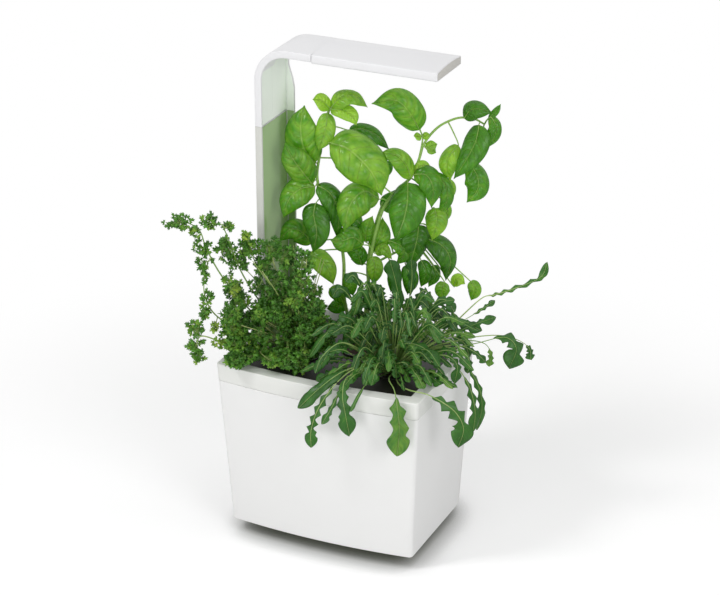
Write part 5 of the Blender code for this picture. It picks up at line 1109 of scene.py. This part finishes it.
def rocket_leaf(sheaf, ribs, points, facing, start_share, width, lobes, depth, fold, tone, seed,
                end_share=1.0):
    """Adds one rocket leaf along its path: a bare stalk, then a blade cut into lobes on either side."""
    chance = np.random.default_rng(seed)
    steps, wide = 56, 8
    path = smooth_path(points, 60)
    ribs.tube(path, *rib_radii, 0.5 + chance.uniform(-0.15, 0.25), 6)
    share = np.linspace(0, 1, steps + 1)
    place = (start_share + (1 - start_share) * share) * 60
    first = np.minimum(place.astype(int), 59)
    part = (place - first)[:, None]
    mid = path[first] * (1 - part) + path[first + 1] * part
    tangent = unit(np.gradient(mid, axis=0))
    side = unit(np.cross(tangent, facing))
    for _ in range(3):
        side[1:-1] = unit(side[:-2] + side[1:-1] + side[2:])
    normal = np.cross(side, tangent)
    u, v = np.meshgrid(share, np.linspace(-1, 1, wide + 1), indexing="ij")
    shift = np.where(v < 0, 0.0, side_shift) + chance.uniform(0, 1)
    beat = (u * lobe_beat * lobes + shift) % 1
    saw = np.where(beat < lobe_swell, beat / lobe_swell, (1 - beat) / (1 - lobe_swell)) ** lobe_sharpness
    cut = 1 - depth * (1 - saw)
    growth = np.clip(u / blade_foot, 0, 1) ** 0.7 * (foot_fullness + (1 - foot_fullness) * u)
    tail = np.clip((u - end_lobe_from) / (1 - end_lobe_from), 0, 1)
    terminal = np.sin(np.pi * np.clip(0.22 + 0.78 * tail, 0, 1)) ** 0.75
    blend = np.clip((u - end_blend_from) / end_blend, 0, 1)
    shape = (1 - blend) * growth * cut + blend * np.maximum(terminal * end_share, 0.02)
    half = width / 2
    reach = np.abs(v)
    lift = -fold * width * reach ** 1.5 * shape - rib_trough * width * np.exp(-(v / 0.15) ** 2)
    lift = lift + wave_rise * width * np.sin(u * 19 + v * 2 + chance.uniform(0, 6)) * reach ** 2
    rows = mid[:, None] + side[:, None] * (half * v * shape)[..., None] + normal[:, None] * lift[..., None]
    rows = rows - tangent[:, None] * ((1 - blend) * saw * depth * reach ** 2 * half * lobe_sweep)[..., None]
    sheaf.grid(rows, np.stack((u, v * 0.5 + 0.5), -1), tone)


# Each leaf: its path as shares, where its blade starts, width in mm, lobes a side, how deep, fold, face
# and tone.
rocket_leaf_shares = [
    ([(-0.02, -0.02, 0), (-0.3, -0.35, 0.101), (-0.51, -0.6, 0.132), (-0.74, -0.76, 0.084),
     (-0.96, -0.8, -0.013)], 0.45, 15, 0, 0, 0.18, (0, 1), 0.3),
    ([(-0.02, -0.02, 0), (-0.33, -0.4, 0.111), (-0.56, -0.7, 0.102), (-0.75, -0.84, 0),
     (-0.83, -0.86, -0.116), (-0.83, -0.86, -0.206)], 0.42, 15, 6, 0.75, 0.14, (-0.3, 0.5), 0.36),
    ([(-0.02, -0.02, 0), (-0.34, -0.42, 0.105), (-0.51, -0.72, 0.086), (-0.61, -0.86, 0.014),
     (-0.72, -0.88, -0.077)], 0.6, 9, 3, 0.5, 0.14, (-0.3, 0.5), 0.36),
    ([(-0.02, -0.02, 0), (-0.3, -0.45, 0.091), (-0.47, -0.7, 0.122), (-0.51, -0.86, 0.069),
     (-0.48, -0.92, -0.019), (-0.44, -0.92, -0.129)], 0.45, 19, 4, 0.5, 0.16, (0, 0.5), 0.34),
    ([(-0.02, -0.02, 0), (-0.24, -0.55, 0.071), (-0.34, -0.86, 0.074),
     (-0.43, -0.92, -0.004)], 0.5, 4.5, 0, 0, 0.1, (0, 0.5), 0.5),
    ([(0.017, -0.02, 0), (-0.04, -0.5, 0.071), (0.01, -0.86, 0.094), (0.04, -1.02, 0.037),
     (0.06, -1.06, -0.065), (0.04, -1.06, -0.2)], 0.5, 25, 3, 0.42, 0.12, (0.1, 0.5), 0.62),
    ([(0.02, -0.02, 0), (0.06, -0.5, 0.046), (0.16, -0.8, 0.082), (0.34, -0.9, 0.082), (0.51, -0.94, 0.045),
     (0.64, -0.94, -0.01), (0.71, -0.94, -0.09),
     (0.66, -0.94, -0.185)], 0.48, 25, 4, 0.65, 0.14, (0.3, 0.5), 0.36),
    ([(0.02, -0.02, 0), (0.38, -0.1, 0.12), (0.6, -0.2, 0.096), (0.78, -0.2, -0.019), (0.86, -0.2, -0.159),
     (0.85, -0.2, -0.274)], 0.55, 14, 4, 0.6, 0.16, (0.4, 0.6), 0.36),
    ([(0.02, 0, 0), (0.28, -0.03, 0.096), (0.54, -0.05, 0.13), (0.74, -0.05, 0.06), (0.85, -0.05, -0.02),
     (0.92, -0.05, -0.1), (0.94, -0.05, -0.195),
     (0.89, -0.05, -0.305)], 0.48, 12, 4, 0.55, 0.18, (0.4, 0.6), 0.42),
    ([(0.02, 0, 0), (0.26, -0.05, 0.08), (0.56, -0.05, 0.125), (0.88, -0.05, 0.16), (1.16, -0.06, 0.192),
     (1.28, -0.08, 0.136), (1.21, -0.08, 0.031)], 0.6, 24, 3, 0.62, 0.14, (0.2, 0.9), 0.32),
    ([(0.02, 0, 0), (0.33, 0, 0.11), (0.73, 0, 0.17), (1.08, 0, 0.19), (1.3, 0, 0.165), (1.42, 0, 0.12),
     (1.44, 0, 0.06)], 0.78, 12, 3, 0.55, 0.14, (0.3, 0.9), 0.32),
    ([(0.017, 0.02, 0), (0.38, 0.05, 0.11), (0.74, 0.1, 0.28), (0.93, 0.12, 0.361), (1.05, 0.12, 0.376),
     (1.24, 0.14, 0.402), (1.52, 0.16, 0.458), (1.59, 0.16, 0.538)], 0.5, 9, 6, 0.8, 0.12, (0.2, 0.7), 0.5),
    ([(0.017, 0.02, 0), (0.33, 0.06, 0.098), (0.66, 0.08, 0.224), (0.88, 0.1, 0.29),
     (1.06, 0.12, 0.346)], 0.7, 7, 3, 0.6, 0.12, (0.2, 0.8), 0.4),
    ([(0.017, 0, 0), (0.28, 0.02, 0.106), (0.58, 0.05, 0.17), (0.82, 0.05, 0.23),
     (1.07, 0.05, 0.275)], 0.6, 11, 4, 0.6, 0.15, (0.1, 0.9), 0.36),
    ([(0.02, 0, 0), (0.33, 0, 0.11), (0.7, 0, 0.16), (0.94, 0, 0.15), (1.02, -0.02, 0.099),
     (1.01, -0.03, 0.031)], 0.72, 9, 3, 0.5, 0.15, (0.2, 0.9), 0.7),
    ([(0.02, -0.02, 0), (0.26, -0.06, 0.092), (0.53, -0.08, 0.146), (0.72, -0.1, 0.12), (0.8, -0.1, 0.07),
     (0.78, -0.1, 0.01)], 0.66, 10, 3, 0.5, 0.15, (0.2, 0.9), 0.22),
    ([(0.02, -0.02, 0), (0.28, -0.04, 0.108), (0.63, -0.06, 0.152), (0.83, -0.08, 0.126),
     (0.97, -0.08, 0.066)], 0.68, 10, 3, 0.5, 0.15, (0.2, 0.9), 0.3),
    ([(0.017, 0, 0), (0.2, 0.05, 0.11), (0.46, 0.08, 0.204), (0.7, 0.08, 0.239),
     (0.93, 0.08, 0.199)], 0.5, 14, 4, 0.55, 0.15, (0.1, 0.9), 0.34),
    ([(-0.02, 0, 0), (-0.2, -0.1, 0.115), (-0.3, -0.2, 0.221), (-0.47, -0.28, 0.282),
     (-0.67, -0.32, 0.28)], 0.45, 12, 4, 0.5, 0.15, (-0.2, 0.9), 0.28),
    ([(-0.02, -0.02, 0), (-0.34, -0.25, 0.171), (-0.54, -0.4, 0.236), (-0.72, -0.5, 0.186),
     (-0.79, -0.52, 0.105)], 0.5, 9, 4, 0.5, 0.15, (-0.2, 0.9), 0.26),
    ([(-0.017, 0, 0), (-0.17, 0, 0.12), (-0.18, -0.02, 0.224), (-0.06, -0.05, 0.265),
     (0.09, -0.08, 0.216)], 0.55, 12, 4, 0.6, 0.15, (0, 0.9), 0.32),
    ([(0.017, 0.02, 0), (0, 0.05, 0.16), (0.07, 0.06, 0.328), (0.03, 0.06, 0.458),
     (-0.03, 0.04, 0.572)], 0.45, 18, 2, 0.3, 0.15, (0, 0.5), 0.26),
    ([(0.02, 0.02, 0), (0.12, 0.08, 0.204), (0.18, 0.1, 0.375), (0.2, 0.1, 0.475),
     (0.19, 0.08, 0.564)], 0.5, 13, 3, 0.4, 0.15, (0.1, 0.5), 0.24),
    ([(0.02, -0.02, 0), (0, -0.15, 0.14), (0.16, -0.2, 0.191), (0.34, -0.28, 0.177),
     (0.49, -0.32, 0.105)], 0.45, 16, 3, 0.4, 0.15, (0.2, 0.9), 0.34),
    ([(0.02, -0.02, 0), (0.03, -0.3, 0.101), (0.13, -0.35, 0.121),
     (0.21, -0.38, 0.072)], 0.5, 10, 2, 0.4, 0.15, (0.2, 0.9), 0.4),
    ([(-0.02, 0.02, 0), (-0.14, 0.03, 0.139), (-0.08, 0.02, 0.286), (-0.24, 0, 0.355),
     (-0.43, -0.03, 0.336)], 0.5, 14, 3, 0.45, 0.15, (-0.1, 0.9), 0.38),
    ([(0.02, -0.02, 0), (-0.12, -0.2, 0.051), (-0.13, -0.24, 0.159)], 0.3, 10, 2, 0.3, 0.15, (0, 0.6), 0.36),
    ([(-0.017, 0.02, 0), (-0.36, 0.08, 0.204), (-0.42, 0.08, 0.354), (-0.54, 0.06, 0.423),
     (-0.62, 0.04, 0.382)], 0.5, 14, 3, 0.45, 0.15, (-0.1, 0.8), 0.26),
    ([(0.017, 0.02, 0), (0.28, 0.1, 0.2), (0.44, 0.1, 0.34), (0.56, 0.08, 0.354),
     (0.64, 0.06, 0.298)], 0.5, 14, 4, 0.5, 0.15, (0.2, 0.8), 0.28),
    ([(0.017, 0.02, 0), (-0.2, 0.06, 0.208), (-0.3, 0.06, 0.398), (-0.4, 0.04, 0.492),
     (-0.48, 0.02, 0.466)], 0.5, 13, 3, 0.5, 0.15, (0, 0.7), 0.26),
    ([(0.02, -0.02, 0), (0.26, -0.2, 0.101), (0.52, -0.26, 0.143), (0.66, -0.3, 0.101),
     (0.64, -0.3, 0.001)], 0.5, 12, 4, 0.6, 0.15, (0.2, 0.9), 0.34),
    ([(0.02, 0.02, 0), (0.13, 0.05, 0.11), (0.33, 0.08, 0.264), (0.48, 0.08, 0.339),
     (0.64, 0.06, 0.363)], 0.5, 11, 4, 0.55, 0.15, (0.2, 0.9), 0.3),
    ([(-0.017, -0.02, 0), (-0.37, -0.25, 0.131), (-0.52, -0.35, 0.191),
     (-0.68, -0.42, 0.19)], 0.45, 11, 4, 0.5, 0.15, (-0.2, 0.9), 0.4),
    ([(0, -0.02, 0), (-0.27, -0.1, 0.165), (-0.4, -0.15, 0.295),
     (-0.55, -0.2, 0.336)], 0.45, 13, 4, 0.5, 0.15, (-0.1, 0.9), 0.3),
    ([(0.02, 0, 0), (0.33, 0, 0.12), (0.56, 0, 0.185), (0.74, 0, 0.15),
     (0.8, -0.02, 0.079)], 0.55, 12, 4, 0.5, 0.15, (0.2, 0.9), 0.3),
    ([(0.017, 0.02, 0), (-0.07, 0.03, 0.164), (-0.17, 0.03, 0.279), (-0.32, 0, 0.27),
     (-0.43, -0.05, 0.205)], 0.5, 13, 3, 0.45, 0.15, (0, 0.9), 0.42),
]
inner_leaf_count = 112
front_leaf_count = 30
leaves = Sheaf()
rods = Sheaf()
for number, (path, start_share, width, lobes, depth, fold, lean, tone) in enumerate(rocket_leaf_shares):
    points = [at("rocket", *shares) for shares in path]
    rocket_leaf(leaves, rods, points, heading(lean[0], -1, lean[1]), start_share, width * mm, lobes, depth,
                fold, tone, 40 + number)
chance = np.random.default_rng(7)
for number in range(inner_leaf_count + front_leaf_count):
    turn = math.tau * (number + chance.uniform(0, 1)) / inner_leaf_count
    reach = chance.uniform(0.25, 0.95)
    across, back = reach * math.cos(turn), reach * (0.66 * math.sin(turn) - 0.14)
    rise = chance.uniform(0.14, 0.48) * (1.2 - 0.6 * reach)
    if number >= inner_leaf_count:
        across, back = chance.uniform(-1.0, 0.8), chance.uniform(-0.85, -0.35)
        rise = chance.uniform(0.09, 0.16)
    root = (0.02 * math.cos(turn), 0.02 * math.sin(turn))
    path = [(*root, 0), (0.35 * across, 0.35 * back, 0.55 * rise), (0.7 * across, 0.7 * back, rise),
            (across, back, max(rise - chance.uniform(0.0, 0.16), 0.085))]
    points = [at("rocket", *shares) for shares in path]
    facing = heading(0.5 * math.cos(turn), -1, chance.uniform(0.5, 1.4))
    rocket_leaf(leaves, rods, points, facing, chance.uniform(0.35, 0.6), chance.uniform(8, 16) * mm,
                chance.integers(4, 8), chance.uniform(0.65, 0.92), 0.16, chance.uniform(0.12, 0.6),
                90 + number, chance.uniform(0.45, 0.8))
leaves.piece("rocket_leaves", [rocket_upper, rocket_under], "rocket_pod", "rocket_leaf", "rocket_plant",
             0.35 * mm)
rods.piece("rocket_midribs", [rocket_rind], "rocket_pod", "rocket_leaf", "rocket_plant")


# Floor: a pale sheet that runs out of sight. It shows white, and keeps the garden's soft shadow, deepened by a
# painted contact shadow of dark greenish grey close under the garden.
floor_reach = 6.0
corners = [(-floor_reach, -floor_reach, 0), (floor_reach, -floor_reach, 0), (floor_reach, floor_reach, 0),
           (-floor_reach, floor_reach, 0)]
floor_mesh = bpy.data.meshes.new("floor_sheet")
floor_mesh.from_pydata(corners, [], [(0, 1, 2, 3)])
floor_sheet = bpy.data.objects.new("floor_sheet", floor_mesh)
bpy.context.scene.collection.objects.link(floor_sheet)
floor_sheet.location.z = -0.1 * mm
shadow_reach, clear_reach = 0.30, 0.75
paper_lift = 1.08
painted_shadow_reach = 50 * mm
paper, tree = blank_material("matt_white_paper")
path = add_node(tree, "LightPath")
place = add_node(tree, "TexCoord")
far = add_node(tree, "VectorMath", {0: place.outputs["Object"]}, operation="LENGTH")
fade = add_node(tree, "MapRange", {
    "Value": far.outputs["Value"], "From Min": shadow_reach, "From Max": clear_reach,
}, interpolation_type="SMOOTHSTEP")
camera_ray = path.outputs["Is Camera Ray"]
shown = maths(tree, "MULTIPLY", camera_ray, fade.outputs[0])
sheet = add_node(tree, "BsdfDiffuse", {"Color": linear("#dcdcdc")})
# Painted shadow: where the garden hems the sheet in, its colour runs to a dark greenish grey.
painted_shadow_occlusion = add_node(tree, "AmbientOcclusion", {"Distance": painted_shadow_reach}, samples=16)
painted_shadow_share = ranged(tree, painted_shadow_occlusion.outputs["AO"], 0.1, 0.8, 0, 1)
tint = mixed(tree, painted_shadow_share, linear("#5b5e50"), (paper_lift, paper_lift, paper_lift, 1))
bright = add_node(tree, "BsdfDiffuse", {"Color": tint})
seen = add_node(tree, "MixShader", {"Fac": camera_ray, 1: sheet.outputs["BSDF"], 2: bright.outputs["BSDF"]})
glow = add_node(tree, "Emission", {"Color": linear("#ffffff"), "Strength": 1.0})
both = add_node(tree, "MixShader", {"Fac": shown, 1: seen.outputs[0], 2: glow.outputs[0]})
add_node(tree, "OutputMaterial", {"Surface": both.outputs[0]})
floor_mesh.materials.append(paper)


# Light: a bright even room, a broad lamp high above and behind, and a small one high at the front left. A
# broad lamp at the right and a low wide one in front lift the planter's sides.
scene = bpy.context.scene
world = bpy.data.worlds.new("pale_room")
scene.world = world
world.use_nodes = True
tree = world.node_tree
tree.nodes.clear()
path = add_node(tree, "LightPath")
seen = maths(tree, "MAXIMUM", path.outputs["Is Camera Ray"], path.outputs["Is Glossy Ray"])
seen = maths(tree, "MAXIMUM", seen, path.outputs["Is Transmission Ray"])
room = add_node(tree, "Background", {"Color": linear("#ffffff"), "Strength": 0.60})
wall_light = add_node(tree, "Background", {"Color": linear("#ffffff"), "Strength": 1.0})
mix = add_node(tree, "MixShader", {"Fac": seen, 1: room.outputs[0], 2: wall_light.outputs[0]})
add_node(tree, "OutputWorld", {"Surface": mix.outputs[0]})


def soft_lamp(name, place, aim, size, power, height=None):
    """A square or wide area lamp aimed at a point."""
    light = bpy.data.lights.new(name, "AREA")
    light.shape = "RECTANGLE"
    light.size, light.size_y = size, height or size
    light.energy = power
    lamp = bpy.data.objects.new(name, light)
    scene.collection.objects.link(lamp)
    lamp.location = place
    lamp.rotation_euler = (Vector(aim) - Vector(place)).to_track_quat("-Z", "Y").to_euler()


soft_lamp("lamp_above", (0.25, 0.35, 1.9), (0, 0, 0.25), 1.3, 4)
soft_lamp("lamp_key", (-0.75, -0.95, 1.65), (0, 0, 0.3), 0.36, 8)
soft_lamp("lamp_right", (1.5, -1.0, 0.9), (0, 0, 0.25), 0.9, 9)
soft_lamp("lamp_front_low", (-0.1, -1.7, 0.14), (0, 0, 0.08), 1.7, 6, 0.24)

# Camera: the photograph's view, from the front and a little to the right, looking down.
camera = bpy.data.objects.new("camera", bpy.data.cameras.new("camera"))
scene.collection.objects.link(camera)
azimuth, elevation, distance = math.radians(24.5), math.radians(24.2), 2.5056
target = Vector((0.0528, -0.096, 0.3218))
level = math.cos(elevation)
way = Vector((math.sin(azimuth) * level, -math.cos(azimuth) * level, math.sin(elevation)))
camera.location = target + way * distance
camera.rotation_euler = (-way).to_track_quat("-Z", "Y").to_euler()
camera.data.lens = 120
camera.data.sensor_width = 36
scene.camera = camera
scene.view_settings.view_transform = "Standard"
